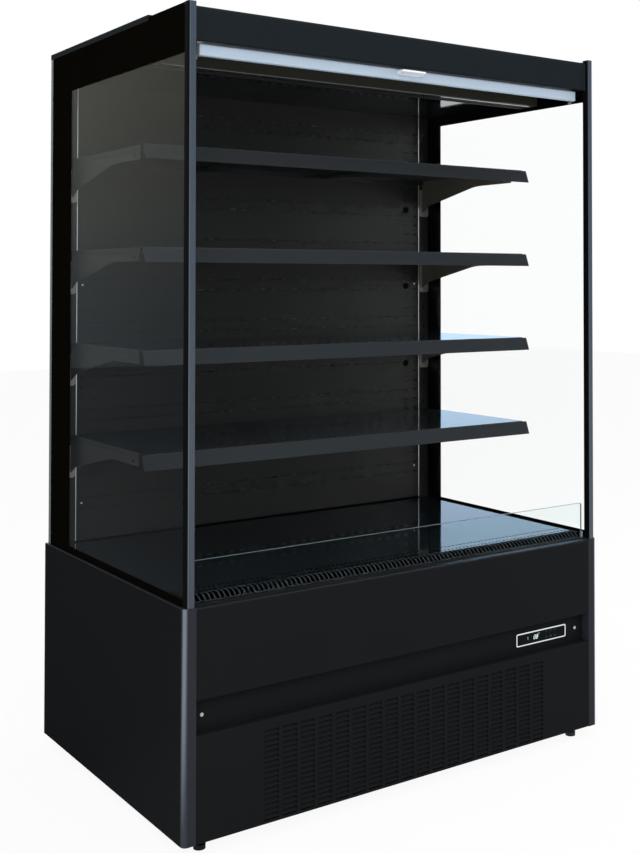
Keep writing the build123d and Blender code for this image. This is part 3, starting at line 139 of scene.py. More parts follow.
# Depths are measured from the foremost point, which lies this far in front of the origin, in millimetres.
FRONT_TO_ORIGIN = 444


def at(across, depth, height):
    """A place given across, in depth from the foremost point and in height, in millimetres."""
    return Vector((across / 1000, (depth - FRONT_TO_ORIGIN) / 1000, height / 1000))


def only(piece):
    """Selects one piece alone and makes it the active one."""
    bpy.ops.object.select_all(action="DESELECT")
    piece.select_set(True)
    bpy.context.view_layer.objects.active = piece


def finish_with(piece, kind, **settings):
    """Adds a modifier to a piece, with its settings, and applies it."""
    only(piece)
    modifier = piece.modifiers.new(kind.lower(), kind)
    for name, value in settings.items():
        setattr(modifier, name, value)
    bpy.ops.object.modifier_apply(modifier=modifier.name)


def shade(piece, angle=40):
    """Shades rounded edges smooth and keeps flat faces flat, so that they mirror without a bend."""
    only(piece)
    bpy.ops.object.shade_smooth_by_angle(angle=radians(angle))
    finish_with(piece, "WEIGHTED_NORMAL", keep_sharp=True)


def ease(piece, width, segments=2, angle=40):
    """Rounds a piece's sharp edges by a width in millimetres and shades it."""
    finish_with(piece, "BEVEL", width=width / 1000, segments=segments, limit_method="ANGLE",
                angle_limit=radians(angle))
    shade(piece, angle)


# Corners within 2 thousandths of a millimetre are one corner, and faces within half a degree are one flat face.
SAME_CORNER, SAME_FACE = 0.000002, radians(0.5)


def eased_copy(node, width, segments=2):
    """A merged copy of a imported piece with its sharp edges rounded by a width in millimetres."""
    only(nodes[node])
    bpy.ops.object.duplicate()
    piece = bpy.context.active_object
    piece.name = node + "_finished"
    piece.parent = None
    for key in list(piece.keys()):
        del piece[key]
    bpy.ops.mesh.customdata_custom_splitnormals_clear()
    bpy.ops.object.mode_set(mode="EDIT")
    bpy.ops.mesh.select_all(action="SELECT")
    bpy.ops.mesh.remove_doubles(threshold=SAME_CORNER)
    bpy.ops.mesh.dissolve_limited(angle_limit=SAME_FACE)
    bpy.ops.object.mode_set(mode="OBJECT")
    ease(piece, width, segments)
    return piece


def fit(piece, material, slot, body, *stood_for):
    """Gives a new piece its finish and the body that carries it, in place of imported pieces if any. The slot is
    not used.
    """
    piece.data.materials.clear()
    piece.data.materials.append(material)
    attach(piece, body)
    if stood_for:
        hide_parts(*stood_for)


def recoat(piece, finish, chosen):
    """Gives the faces for which chosen is true of their centre and normal another finish."""
    piece.data.materials.append(finish)
    for face in piece.data.polygons:
        if chosen(face.center, face.normal):
            face.material_index = len(piece.data.materials) - 1


# The same powder coat with less sheen: the white studio would turn it grey where the photo keeps it near black.
base_coat = surface("powder_coat_base", "#191a1c", 0.46, grain=5.0, depth=0.02, Specular_IOR_Level=0.01)
dress(base_coat, "base_paint", "louvre_panel")

# The top folds lie level, above 560 mm, and take a lighter, glossier copy of the coat: a painted highlight where
# they mirror the studio at a low angle.
fold_highlight_coat = surface("powder_coat_fold_highlight", "#1c1e21", 0.3, grain=5.0, depth=0.0, Specular_IOR_Level=0.2)
fold_foot = at(0, 0, 560)
for name in ("base_side_panel_left", "base_side_panel_right", "front_apron"):
    folded = eased_copy(name, 0.5)
    fit(folded, base_coat, "base_paint", "cabinet", name)
    recoat(folded, fold_highlight_coat, lambda centre, normal: normal.z > 0.7 and centre.z > fold_foot.z)

# Anodised extrusion: metallic and satin, with fine upright lines that are drawn 2 mm apart.
post_anodise = surface("anodised_aluminium_blue_grey", "#585e65", 0.3, patches=0.05, grain=2.0, depth=0.004,
                       stretch=(1, 1, 0.02), Metallic=1.0)
# The corner posts are coated dark. Their rounded nose, in the outer 13 mm at the front, is drawn in the bright
# anodised finish: a painted highlight on the round.
corner_coat = surface("powder_coat_corner", "#2b2e32", 0.42, grain=5.0, depth=0.02, Specular_IOR_Level=0.02)
highlight_nose = at(652, 13, 0)
corners = eased_copy("base_corner_posts", 0.2, 1)
fit(corners, corner_coat, "base_paint", "cabinet", "base_corner_posts")
recoat(corners, post_anodise, lambda centre, normal: abs(centre.x) > highlight_nose.x and centre.y < highlight_nose.y
       and abs(normal.x) > 0.12 and normal.y < -0.12)

# Pre-painted steel coil for the back of the cabinet: mid grey, smooth, with a faint rolled line along its length.
back_coil = surface("coil_coated_steel_grey", "#74777a", 0.4, grain=3.0, depth=0.01, stretch=(0.05, 1, 1))
dress(back_coil, "back_sheet", "rear_base_panel", "rear_casing")


# ---- panel screws ----
# Two pan-head screws of zinc-plated steel hold the louvred panel's strip to the chassis.
# Each has a pressed socket in its head.

def placed(name, size=(1, 1, 1)):
    """Names the primitive just added and puts its place, turn and size into its mesh."""
    piece = bpy.context.active_object
    piece.scale = size
    bpy.ops.object.transform_apply(location=True, rotation=True, scale=True)
    piece.name = name
    return piece


def disc(name, radius, across, height, front, rear, sides=24):
    """A round blank that faces the front, between two depths."""
    bpy.ops.object.select_all(action="DESELECT")
    bpy.ops.mesh.primitive_cylinder_add(vertices=sides, radius=radius / 1000, depth=(rear - front) / 1000,
                                        location=at(across, (front + rear) / 2, height),
                                        rotation=(pi / 2, 0, 0))
    return placed(name)


def pick_faces(piece, chosen=lambda centre, normal: True):
    """Selects the faces for which chosen is true of their centre and normal, and opens the piece for editing."""
    only(piece)
    for part in (piece.data.vertices, piece.data.edges, piece.data.polygons):
        part.foreach_set("select", [False] * len(part))
    for face in piece.data.polygons:
        face.select = chosen(face.center, face.normal)
    bpy.ops.object.mode_set(mode="EDIT")
    bpy.ops.mesh.select_mode(type="FACE")


def extrude(across, depth, height):
    """Extrudes what is selected by millimetres."""
    bpy.ops.mesh.extrude_region_move(
        TRANSFORM_OT_translate={"value": (across / 1000, depth / 1000, height / 1000)})


def screw(name, radius, across, height, front, rear):
    """A screw head with a rounded rim and a socket 0.8 mm deep and half as wide as the head."""
    head = disc(name, radius, across, height, front, rear)
    pick_faces(head, lambda centre, normal: normal.y < -0.9)
    bpy.ops.mesh.inset(thickness=radius / 2000, depth=0)
    extrude(0, 0.8, 0)
    bpy.ops.object.mode_set(mode="OBJECT")
    ease(head, 0.5)
    return head


def set_out(piece, names, places):
    """The piece, which stands at the first place, and a copy with its own mesh at each of the other places."""
    pieces = [piece]
    for name, (across, height) in list(zip(names, places))[1:]:
        only(piece)
        bpy.ops.object.duplicate()
        shift = (across - places[0][0], height - places[0][1])
        bpy.context.active_object.location = (shift[0] / 1000, 0, shift[1] / 1000)
        pieces.append(placed(name))
    return pieces


# Bright zinc plate: a silver metal with a slight blue cast and a soft sheen.
zinc = surface("zinc_plated_steel", "#dfe2e6", 0.3, grain=0.8, depth=0.005, Metallic=0.8)
STRIP_SCREWS = [(-603, 314), (603, 314)]
first = screw("panel_screw_left", 4.6, *STRIP_SCREWS[0], front=28.2, rear=30.2)
for head in set_out(first, ("panel_screw_left", "panel_screw_right"), STRIP_SCREWS):
    fit(head, zinc, "bezel_chrome", "cabinet")


# ---- controller ----
# Touch controller in the strip: a chrome-plated ABS frame around a smoked acrylic face.
# The figures are lit from behind; the key symbols are printed in grey.

# Electroplated chrome on moulded ABS: a mirror that shows the studio.
bezel_plate = surface("chrome_plated_abs", "#e6eaee", 0.12, patches=0.02, grain=2.0, depth=0.004, Metallic=1.0)
fit(eased_copy("controller_bezel", 0.9), bezel_plate, "bezel_chrome", "cabinet", "controller_bezel")

# Smoked cast acrylic: almost black and glossy.
smoked_acrylic = surface("smoked_acrylic", "#101614", 0.1, grain=20.0, depth=0.01, Specular_IOR_Level=0.02)
dress(smoked_acrylic, "display_black", "controller_body")

# The signs are 0.1 mm thick. Points of their outlines within a hundredth of a millimetre are merged.
FACE_DEPTH, SIGN_THICKNESS, SAME_POINT = 28.4, 0.1, 0.00001


def face_outward():
    """Turns all faces of the open piece outward."""
    bpy.ops.mesh.select_all(action="SELECT")
    bpy.ops.mesh.normals_make_consistent(inside=False)


def glyph(name, text, size, across, height, slant=0.0):
    """A raised sign on the controller's face."""
    bpy.ops.object.select_all(action="DESELECT")
    bpy.ops.object.text_add(location=at(across, FACE_DEPTH, height), rotation=(pi / 2, 0, 0))
    piece = bpy.context.active_object
    piece.data.body = text
    piece.data.size = size / 1000
    piece.data.shear = slant
    piece.data.extrude = SIGN_THICKNESS / 2000
    piece.data.align_x = "CENTER"
    piece.data.align_y = "CENTER"
    bpy.ops.object.convert(target="MESH")
    piece = placed(name)
    bpy.ops.object.mode_set(mode="EDIT")
    bpy.ops.mesh.select_all(action="SELECT")
    bpy.ops.mesh.remove_doubles(threshold=SAME_POINT)
    face_outward()
    bpy.ops.object.mode_set(mode="OBJECT")
    return piece


# Light-emitting figures behind the acrylic: cool white.
lit_figure = surface("lit_figure", "#b9c6c4", 0.5, patches=0.02, Emission_Color=linear("#e6f3f1"),
                     Emission_Strength=0.6)
for name, text, size, across, height, slant in (("display_figures", "08", 18.5, 448.5, 313.5, 0.22),
                                                ("display_degree", "°", 10, 460.5, 319.5, 0.22),
                                                ("display_mark", "|", 9, 419.5, 315, 0.0)):
    fit(glyph(name, text, size, across, height, slant), lit_figure, "lamp_white", "cabinet")

# Screen-printed grey ink, faint on the black. The keys stand in two rows of three.
printed_sign = surface("printed_sign_grey", "#4d5856", 0.5, patches=0.1)
KEY_SIGN_SIZE = 10
for name, text, across, height in (("frost", "*", 491, 321.5), ("up", "^", 507, 321), ("light", "+", 523, 322),
                                   ("set", "=", 491, 307.5), ("down", "o", 507, 307.5), ("off", "o", 523, 307.5)):
    sign = glyph("key_sign_" + name, text, KEY_SIGN_SIZE, across, height)
    fit(sign, printed_sign, "display_black", "cabinet")


# ---- insulated body ----
# Foamed panels with a pre-painted steel skin: the well under the deck, the rear wall and the roof.
# The foam is injected between the skins, so each is one block with square edges.

# White pre-painted skin: smooth, slightly wavy over the foam.
foam_skin = surface("painted_skin_over_foam", "#c6c7c2", 0.45, grain=60.0, depth=0.2)
dress(foam_skin, "skinned_foam", "roof_panel")
# The well's skin and the fan plate in it are drawn black where they show through the grille: painted shade in the
# well.
well_shade_skin = surface("painted_shade_skin_in_well", "#161616", 0.45, grain=60.0, depth=0.2, Specular_IOR_Level=0.05)
dress(well_shade_skin, "skinned_foam", "insulated_well")
dress(well_shade_skin, "chassis_paint", "fan_plate")


# ---- roof cover and canopy ----
# Folded steel in a dark green-grey powder coat: the cover on the roof and the deep canopy over the front.
# A moulded cap closes each end of the canopy.

canopy_coat = surface("powder_coat_canopy", "#1b2023", 0.44, grain=5.0, depth=0.02, Specular_IOR_Level=0.01)
dress(canopy_coat, "canopy_paint", "canopy", "roof_cover")
# Moulded ABS in the same colour, a touch glossier.
cap_abs = surface("moulded_abs_dark", "#22282c", 0.38, grain=1.5, depth=0.01, Specular_IOR_Level=0.04)
dress(cap_abs, "cap_plastic", "canopy_end_caps")


# ---- front posts ----
# Two aluminium extrusions, anodised blue-grey, stand on the base and hold the front edge of the glass ends.
# The lines of the extrusion run up them.

# The flanks are drawn near black: a painted shade for the dark that they mirror. The face stays anodised.
flank_shade = surface("post_flank_painted_shade", "#0d0d0d", 0.5, grain=2.0, depth=0.01, Specular_IOR_Level=0.02)
for name in ("post_left", "post_right"):
    post = eased_copy(name, 0.2, 1)
    fit(post, post_anodise, "post_anodised", "cabinet", name)
    recoat(post, flank_shade, lambda centre, normal: abs(normal.x) > 0.5)


# ---- glass ends ----
# Each end is one 4 mm toughened pane that stands behind the post and runs up to the roof.
# A black ceramic print along its foot, top and back hides the foam and the uprights.

def clear_glass(name, tint, ior):
    """Float glass with a faint wave in its surface and a trace of smears."""
    made, shader = new_finish(name)
    place = add(made, "ShaderNodeTexCoord").outputs["Object"]
    wave = add(made, "ShaderNodeTexNoise", {"Vector": place, "Scale": 2.5, "Detail": 0.0})
    bump = add(made, "ShaderNodeBump", {"Height": wave.outputs["Fac"], "Strength": 1.0, "Distance": 0.0004})
    smear = add(made, "ShaderNodeTexNoise", {"Vector": place, "Scale": 6.0, "Detail": 4.0})
    rough = add(made, "ShaderNodeMapRange", {"Value": smear.outputs["Fac"], "From Min": 0.45, "From Max": 0.75,
                                             "To Min": 0.0, "To Max": 0.03})
    feed(made, shader, {"Base Color": linear(tint), "Roughness": rough.outputs["Result"], "IOR": ior,
                        "Transmission Weight": 1.0, "Normal": bump.outputs["Normal"]})
    return made


# Toughened glass. Its index is far below the real 1.52, so that the white studio veils the dark inside no more
# than in the photo.
end_glass = clear_glass("toughened_glass_end", "#fdfefe", 1.15)
dress(end_glass, "end_glass", "side_glass_left", "side_glass_right")

# Fired ceramic ink: a dense, warm black, 0.2 mm thick. The print is a C that is open to the front.
ceramic_ink = surface("ceramic_ink_black", "#0a0906", 0.5, patches=0.1, Specular_IOR_Level=0.0)
PANE_SIDES = [(-656.55, 0), (656.55, 0)]
PANE_DEEP, PANE_HIGH = 845.7, 1403
PANE_MIDDLE = (445.15, 1273.5)
CLEAR_FOOT, CLEAR_TOP, CLEAR_BACK = 590, 1857, 724


def divide(piece, place, normal):
    """Divides the faces of a piece along a plane."""
    pick_faces(piece)
    bpy.ops.mesh.bisect(plane_co=place, plane_no=normal)
    bpy.ops.object.mode_set(mode="OBJECT")


bpy.ops.object.select_all(action="DESELECT")
bpy.ops.mesh.primitive_plane_add(size=1, location=at(PANE_SIDES[0][0], *PANE_MIDDLE), rotation=(0, pi / 2, 0))
border = placed("glass_print_left", (PANE_HIGH / 1000, PANE_DEEP / 1000, 1))
clear_low, clear_high = at(0, 0, CLEAR_FOOT), at(0, CLEAR_BACK, CLEAR_TOP)
divide(border, clear_high, (0, 1, 0))
divide(border, clear_low, (0, 0, 1))
divide(border, clear_high, (0, 0, 1))
pick_faces(border, lambda centre, normal: clear_low.z < centre.z < clear_high.z and centre.y < clear_high.y)
bpy.ops.mesh.delete(type="FACE")
bpy.ops.object.mode_set(mode="OBJECT")
finish_with(border, "SOLIDIFY", thickness=0.0002, offset=0)
for printed in set_out(border, ("glass_print_left", "glass_print_right"), PANE_SIDES):
    fit(printed, ceramic_ink, "inner_black", "cabinet")


# ---- back panel and uprights ----
# Perforated steel sheet, black, with rows of punched slots that let the cold air out between the shelves.
# Channel uprights with hook slots stand at both sides; four screws hold the sheet and three plugs close spare
# holes.

# Satin black powder coat for the inside.
inner_coat = surface("powder_coat_inside", "#282825", 0.45, grain=5.0, depth=0.02, Specular_IOR_Level=0.18)
dress(inner_coat, "inner_black", "shelf_uprights")

PANEL_WIDE, PANEL_HIGH = 1222.5, 1301.7
PANEL_DEPTH, PANEL_MIDDLE = 792.35, 1238.85
SHEET, SIDE_FOLD = 1.5, 19.2
SLOT_HALF_HIGH, SLOT_HALF_LONG = 1.5, 10
SLOT_ROWS = [1828 - 31.14 * row for row in range(38)]
AIR_SLOTS = [(37.19 * n - SLOT_HALF_LONG, 37.19 * n + SLOT_HALF_LONG) for n in range(-14, 15)]
END_SLOTS = [(-602, -588), (-567.8, -547.8), (547.8, 567.8), (588, 602)]
PLUGS = [(556, 1569), (556, 1309), (556, 1046)]
PLUG_CLEAR_ACROSS, PLUG_CLEAR_UP = 24, 16


def in_slot(centre, normal):
    """True for a face that is punched out: rows go two with slots, two with end slots only, none at a plug."""
    across, height = centre.x * 1000, centre.z * 1000
    row = [n for n, z in enumerate(SLOT_ROWS) if abs(height - z) < SLOT_HALF_HIGH]
    if not row or any(abs(across - x) < PLUG_CLEAR_ACROSS and abs(height - z) < PLUG_CLEAR_UP for x, z in PLUGS):
        return False
    columns = AIR_SLOTS + END_SLOTS if row[0] % 4 < 2 else END_SLOTS
    return any(start < across < end for start, end in columns)


bpy.ops.object.select_all(action="DESELECT")
bpy.ops.mesh.primitive_plane_add(size=1, location=at(0, PANEL_DEPTH, PANEL_MIDDLE), rotation=(pi / 2, 0, 0))
panel = placed("back_panel_slotted", (PANEL_WIDE / 1000, PANEL_HIGH / 1000, 1))
for slot_end in [end for slot in AIR_SLOTS + END_SLOTS for end in slot]:
    divide(panel, at(slot_end, 0, 0), (1, 0, 0))
for slot_edge in [row + half for row in SLOT_ROWS for half in (-SLOT_HALF_HIGH, SLOT_HALF_HIGH)]:
    divide(panel, at(0, 0, slot_edge), (0, 0, 1))
pick_faces(panel, in_slot)
bpy.ops.mesh.delete(type="FACE")
bpy.ops.object.mode_set(mode="OBJECT")
# The side edges are drawn back into folds before the sheet gets its thickness.
for edge in panel.data.edges:
    ends = [abs(panel.data.vertices[v].co.x) * 1000 for v in edge.vertices]
    edge.select = all(abs(end - PANEL_WIDE / 2) < 0.2 for end in ends)
bpy.ops.object.mode_set(mode="EDIT")
bpy.ops.mesh.select_mode(type="EDGE")
extrude(0, SIDE_FOLD, 0)
face_outward()
bpy.ops.object.mode_set(mode="OBJECT")
finish_with(panel, "SOLIDIFY", thickness=SHEET / 1000, offset=0)
fit(panel, inner_coat, "inner_black", "cabinet", "inner_back_panel")

# Behind the slots the rear wall's skin is pale. At the left end and the foot it is drawn dark: painted shade where
# little light gets into the duct.
pale_duct = surface("pale_skin_over_foam", "#d2d0c2", 0.5, grain=60.0, depth=0.2)
duct_shade = surface("painted_shade_duct_skin", "#1b1b19", 0.5, grain=60.0, depth=0.2, Specular_IOR_Level=0.1)
shade_limit = at(-245, 0, 600)
wall = eased_copy("rear_wall", 0.3, 1)
divide(wall, shade_limit, (1, 0, 0))
divide(wall, shade_limit, (0, 0, 1))
fit(wall, pale_duct, "skinned_foam", "cabinet", "rear_wall")
recoat(wall, duct_shade, lambda centre, normal: centre.x < shade_limit.x or centre.z < shade_limit.z)


def blank(name, across, depth, height):
    """A box between two places across, two in depth and two in height, in millimetres."""
    low, high = at(across[0], depth[0], height[0]), at(across[1], depth[1], height[1])
    bpy.ops.object.select_all(action="DESELECT")
    bpy.ops.mesh.primitive_cube_add(size=1, location=(low + high) / 2)
    return placed(name, high - low)


# The sheet's folded edges are finished with a strip of bare aluminium, which shows as a bright line.
bare_aluminium = surface("bare_aluminium_trim", "#f2f1ea", 0.35, grain=2.0, depth=0.005, stretch=(1, 1, 0.02),
                         Metallic=1.0)
TRIM_DEPTH, TRIM_HEIGHT = (789.8, 791.5), (588.5, 1889)
for side, across in (("left", (-611.8, -610.0)), ("right", (609.6, 612.0))):
    trim = blank("back_panel_trim_" + side, across, TRIM_DEPTH, TRIM_HEIGHT)
    ease(trim, 0.3)
    fit(trim, bare_aluminium, "bezel_chrome", "cabinet")

SHEET_SCREWS = [(-594, 1314), (-594, 693), (592, 1317), (591, 695)]
screw_names = ["back_panel_screw_%d" % n for n in (1, 2, 3, 4)]
first = screw(screw_names[0], 2.7, *SHEET_SCREWS[0], front=789.4, rear=791.6)
for head in set_out(first, screw_names, SHEET_SCREWS):
    fit(head, zinc, "bezel_chrome", "cabinet")

# Moulded polyethylene plugs: dull and blacker than the sheet.
plug_plastic = surface("moulded_polyethylene_black", "#050505", 0.6, grain=1.5, depth=0.02,
                       Specular_IOR_Level=0.03)
plug_names = ["back_panel_plug_%d" % n for n in (1, 2, 3)]
first = disc(plug_names[0], 11, *PLUGS[0], front=789.0, rear=791.6, sides=32)
ease(first, 1.6, 3)
for plug in set_out(first, plug_names, PLUGS):
    fit(plug, plug_plastic, "foot_black", "cabinet")


# ---- cooling parts in the well and the base ----
# Fans, coils, compressor, pipes and tray: bought-in parts behind the deck and the louvres.
# Fan wheels are moulded, motors die-cast, coils are aluminium fins on copper, and the compressor is a painted can.

# Glass-filled polypropylene, matt black.
fan_moulding = surface("moulded_polypropylene_black", "#151515", 0.55, grain=1.2, depth=0.03)
dress(fan_moulding, "fan_black", "fan_wheel_left", "fan_wheel_right", "condenser_fan_wheel")
# Painted die-cast aluminium with a sandy skin.
motor_casting = surface("painted_die_casting", "#46484a", 0.5, grain=1.2, depth=0.06)
dress(motor_casting, "motor_grey", "fan_motors")
# Bare rolled aluminium, bright but hazy.
fin_stock = surface("rolled_aluminium", "#c9cccd", 0.36, grain=2.0, depth=0.01, stretch=(1, 1, 0.1),
                    Metallic=1.0)
dress(fin_stock, "coil_fins", "evaporator_coil", "condenser_coil")
# Stoving enamel on a pressed steel can.
can_enamel = surface("black_enamel_can", "#101011", 0.28, grain=8.0, depth=0.04, Specular_IOR_Level=0.4)
dress(can_enamel, "compressor_black", "compressor")
# Drawn copper, slightly dulled.
drawn_copper = surface("drawn_copper", "#b87350", 0.32, patches=0.18, patch=60.0, grain=3.0, depth=0.01,
                       Metallic=1.0)
dress(drawn_copper, "copper_pipe", "refrigerant_pipes")
# Vacuum-formed polystyrene.
tray_sheet = surface("formed_polystyrene", "#7b7d7e", 0.5, grain=2.0, depth=0.03)
dress(tray_sheet, "tray_plastic", "condensate_tray")


# ---- deck and return air grille ----
# The deck is a folded steel tray in gloss black enamel that lifts out over the fans.
# The grille in front of it is a folded sheet with punched slots and two rows of small holes.

# Gloss enamel: black from above, and at a low angle it mirrors the pale studio with a blue cast.
gloss_enamel = surface("gloss_enamel_black", "#14191d", 0.06, patches=0.1, grain=30.0, depth=0.01)
fit(eased_copy("deck_pan", 0.5), gloss_enamel, "gloss_black", "deck_pan", "deck_pan")
dress(gloss_enamel, "gloss_black", "ceiling_liner")

# One slot and one hole of each row are made as punches, repeated across and cut out of the sheet.
PUNCHES, PUNCH_PITCH, PUNCH_RADIUS = 94, 13.35, 4
PUNCH_START = -PUNCH_PITCH * (PUNCHES - 1) / 2
LONG_PUNCH_DEPTH, LONG_PUNCH_HEIGHT = (42.3, 72), (574, 590)
ROUND_PUNCH_DEPTHS, ROUND_PUNCH_MIDDLE, ROUND_PUNCH_LONG = (88, 120), 588, 20


def line_up(piece, count, pitch):
    """Repeats a piece in a line across, at a pitch in millimetres."""
    finish_with(piece, "ARRAY", count=count, use_relative_offset=False, use_constant_offset=True,
                constant_offset_displace=(pitch / 1000, 0, 0))


grille = eased_copy("return_air_grille", 0.05, 1)
punches = [blank("slot_punch", (PUNCH_START - PUNCH_RADIUS, PUNCH_START + PUNCH_RADIUS), LONG_PUNCH_DEPTH,
                 LONG_PUNCH_HEIGHT)]
for depth in ROUND_PUNCH_DEPTHS:
    bpy.ops.object.select_all(action="DESELECT")
    bpy.ops.mesh.primitive_cylinder_add(vertices=12, radius=PUNCH_RADIUS / 1000, depth=ROUND_PUNCH_LONG / 1000,
                                        location=at(PUNCH_START, depth, ROUND_PUNCH_MIDDLE))
    punches.append(placed("hole_punch"))
for punch in punches:
    line_up(punch, PUNCHES, PUNCH_PITCH)
    finish_with(grille, "BOOLEAN", operation="DIFFERENCE", object=punch)
    bpy.data.objects.remove(punch)
shade(grille, 30)
fit(grille, gloss_enamel, "inner_black", "cabinet", "return_air_grille")
bars_end = at(0, 76, 0)
divide(grille, bars_end, (0, 1, 0))
# The walls of the punched holes are drawn matt and near black: painted shade in the holes.
punch_wall_shade = surface("painted_shade_slot_wall", "#0b0b0b", 0.6, grain=2.0, depth=0.01, Specular_IOR_Level=0.02)
slot_walls = at(0, 0, 575)
recoat(grille, punch_wall_shade, lambda centre, normal: abs(normal.z) < 0.3 and centre.z > slot_walls.z)
# The upward faces of the bars between the slots are drawn lighter and satin: painted light on the bar tops. They
# end just behind the slots.
bar_top_light = surface("painted_light_bar_top", "#2b2e31", 0.55, grain=2.0, depth=0.01, Specular_IOR_Level=0.06)
recoat(grille, bar_top_light, lambda centre, normal: normal.z > 0.3 and centre.y < bars_end.y)


# ---- glass riser ----
# A low 6 mm glass stands in a black aluminium channel along the front edge.
# A small pale clip holds it at each end.

# The same glass with hardly any mirror image, because the photo shows the grille clear through it.
riser_glass = clear_glass("toughened_glass_riser", "#f4fbfa", 1.02)
riser = eased_copy("glass_riser", 0.4, 1)
fit(riser, riser_glass, "riser_glass", "cabinet", "glass_riser")
# The edges are ground: fine, pale and a little see-through.
ground_edge = surface("ground_glass_edge", "#7d8a92", 0.4, grain=1.0, depth=0.01, Transmission_Weight=0.4)
recoat(riser, ground_edge, lambda centre, normal: abs(normal.y) < 0.9)
# Black anodised extrusion with fine lines along it, drawn 2 mm apart.
channel_anodise = surface("anodised_aluminium_black", "#1c1d1e", 0.4, grain=2.0, depth=0.005,
                          stretch=(0.02, 1, 1), Specular_IOR_Level=0.3)
dress(channel_anodise, "channel_black", "riser_channel")

# Moulded polycarbonate, off-white.
clip_plastic = surface("moulded_polycarbonate", "#c9ced0", 0.3, grain=1.5, depth=0.01)
CLIP_MIDDLES = [(-635.15, 0), (635.15, 0)]
CLIP_ACROSS, CLIP_DEPTH, CLIP_HEIGHT = (-636.2, -634.1), (28.5, 37.5), (573, 590)
first = blank("riser_clip_left", CLIP_ACROSS, CLIP_DEPTH, CLIP_HEIGHT)
ease(first, 0.6)
for clip in set_out(first, ("riser_clip_left", "riser_clip_right"), CLIP_MIDDLES):
    fit(clip, clip_plastic, "lamp_white", "cabinet")


# ---- light and air discharge ----
# A folded housing behind the canopy holds a lamp strip and the air comb that straightens the cold curtain.
# The comb is a moulded black honeycomb.

# Satin black powder coat, with less sheen than the sheets further in.
housing_coat = surface("powder_coat_housing", "#34332d", 0.45, grain=5.0, depth=0.02, Specular_IOR_Level=0.03)
dress(housing_coat, "inner_black", "light_housing")
# Glossy smoked polycarbonate over the lamps, which aren't lit: dark, and a mirror at a low angle.
lamp_cover = surface("smoked_polycarbonate", "#2c2f32", 0.08, grain=20.0, depth=0.01, Specular_IOR_Level=0.8)
dress(lamp_cover, "lamp_white", "led_lamp")

# Moulded polypropylene honeycomb: cells of 8 mm in eight rows, each cell an open hexagon with its own wall.
comb_plastic = surface("moulded_honeycomb_black", "#15171a", 0.4, grain=1.5, depth=0.01)
CELL, CELL_WALL, CELL_HIGH = 8.0, 0.5, 19
CELL_RADIUS = CELL / 3 ** 0.5
COMB_ROWS, LONG_ROW = 8, 159
COMB_FRONT, COMB_FOOT = 247.4, 1868
comb_rows = []
for row in range(COMB_ROWS):
    cells = LONG_ROW - row % 2
    start = at(-CELL * (cells - 1) / 2, COMB_FRONT + 1.5 * CELL_RADIUS * row, COMB_FOOT)
    bpy.ops.object.select_all(action="DESELECT")
    bpy.ops.mesh.primitive_circle_add(vertices=6, radius=CELL_RADIUS / 1000, fill_type="NGON", location=start)
    cell = placed("comb_row")
    pick_faces(cell)
    bpy.ops.mesh.inset(thickness=CELL_WALL / 1000, depth=0)
    bpy.ops.mesh.delete(type="FACE")
    bpy.ops.mesh.select_all(action="SELECT")
    extrude(0, 0, CELL_HIGH)
    face_outward()
    bpy.ops.object.mode_set(mode="OBJECT")
    line_up(cell, cells, CELL)
    comb_rows.append(cell)
bpy.ops.object.select_all(action="DESELECT")
for comb_row in comb_rows:
    comb_row.select_set(True)
bpy.context.view_layer.objects.active = comb_rows[0]
bpy.ops.object.join()
comb = bpy.context.active_object
comb.name = "air_comb"
fit(comb, comb_plastic, "comb_black", "cabinet", "honeycomb_discharge")


# ---- shelves and brackets ----
# Four folded steel shelves in gloss black rest on brackets of dark grey coated steel, hooked into the uprights.
# Each shelf carries a ticket strip along its front.

# Gloss enamel, a little paler than the deck's.
shelf_enamel = surface("gloss_enamel_shelf", "#23282c", 0.08, patches=0.1, grain=30.0, depth=0.01)
# The shelves' side folds and undersides are coated thinly and have no gloss.
dull_enamel = surface("worn_enamel_side", "#2c2e2e", 0.5, patches=0.1, grain=5.0, depth=0.02,
                      Specular_IOR_Level=0.1)
# Extruded vinyl, charcoal, with a soft line along it.
strip_vinyl = surface("extruded_vinyl_charcoal", "#2b2f32", 0.36, patches=0.04, grain=4.0, depth=0.01,
                      stretch=(0.02, 1, 1), Specular_IOR_Level=0.03)
for n in (1, 2, 3, 4):
    shelf, strip = "shelf_%d" % n, "ticket_strip_%d" % n
    tray = eased_copy(shelf, 0.4)
    fit(tray, shelf_enamel, "shelf_black", shelf, shelf)
    recoat(tray, dull_enamel, lambda centre, normal: abs(normal.x) > 0.7 or normal.z < -0.7)
    fit(eased_copy(strip, 0.4), strip_vinyl, "strip_grey", shelf, strip)

# Dark grey satin powder coat. The inner faces of the right-hand brackets are drawn lighter: painted light on the
# faces turned to the left.
bracket_coat = surface("powder_coat_grey", "#2f302e", 0.42, grain=5.0, depth=0.02, Specular_IOR_Level=0.1)
bracket_side_light = surface("powder_coat_painted_light", "#6c695f", 0.42, patches=0.2, patch=60.0, grain=5.0, depth=0.02,
                    Specular_IOR_Level=0.1)
# The hook plates at the back are passivated zinc under a thin coat: lighter, and a little green.
plate_zinc = surface("passivated_zinc_plate", "#98968a", 0.4, patches=0.12, patch=30.0, grain=1.5, depth=0.01,
                     Metallic=0.3)
plates_front = at(0, 774, 0)
for side in ("left", "right"):
    node = "shelf_brackets_" + side
    brackets = eased_copy(node, 0.15, 1)
    fit(brackets, bracket_coat, "shelf_bracket_grey", "cabinet", node)
    recoat(brackets, plate_zinc, lambda centre, normal: normal.y < -0.5 and centre.y > plates_front.y)
    if side == "right":
        recoat(brackets, bracket_side_light, lambda centre, normal: normal.x < -0.7)


# ---- night blind ----
# A sprung roller behind the canopy holds a woven reflective cloth with an aluminium pull bar and a moulded handle.
# The cloth is wound on the tube and comes down in front of it to the bar.

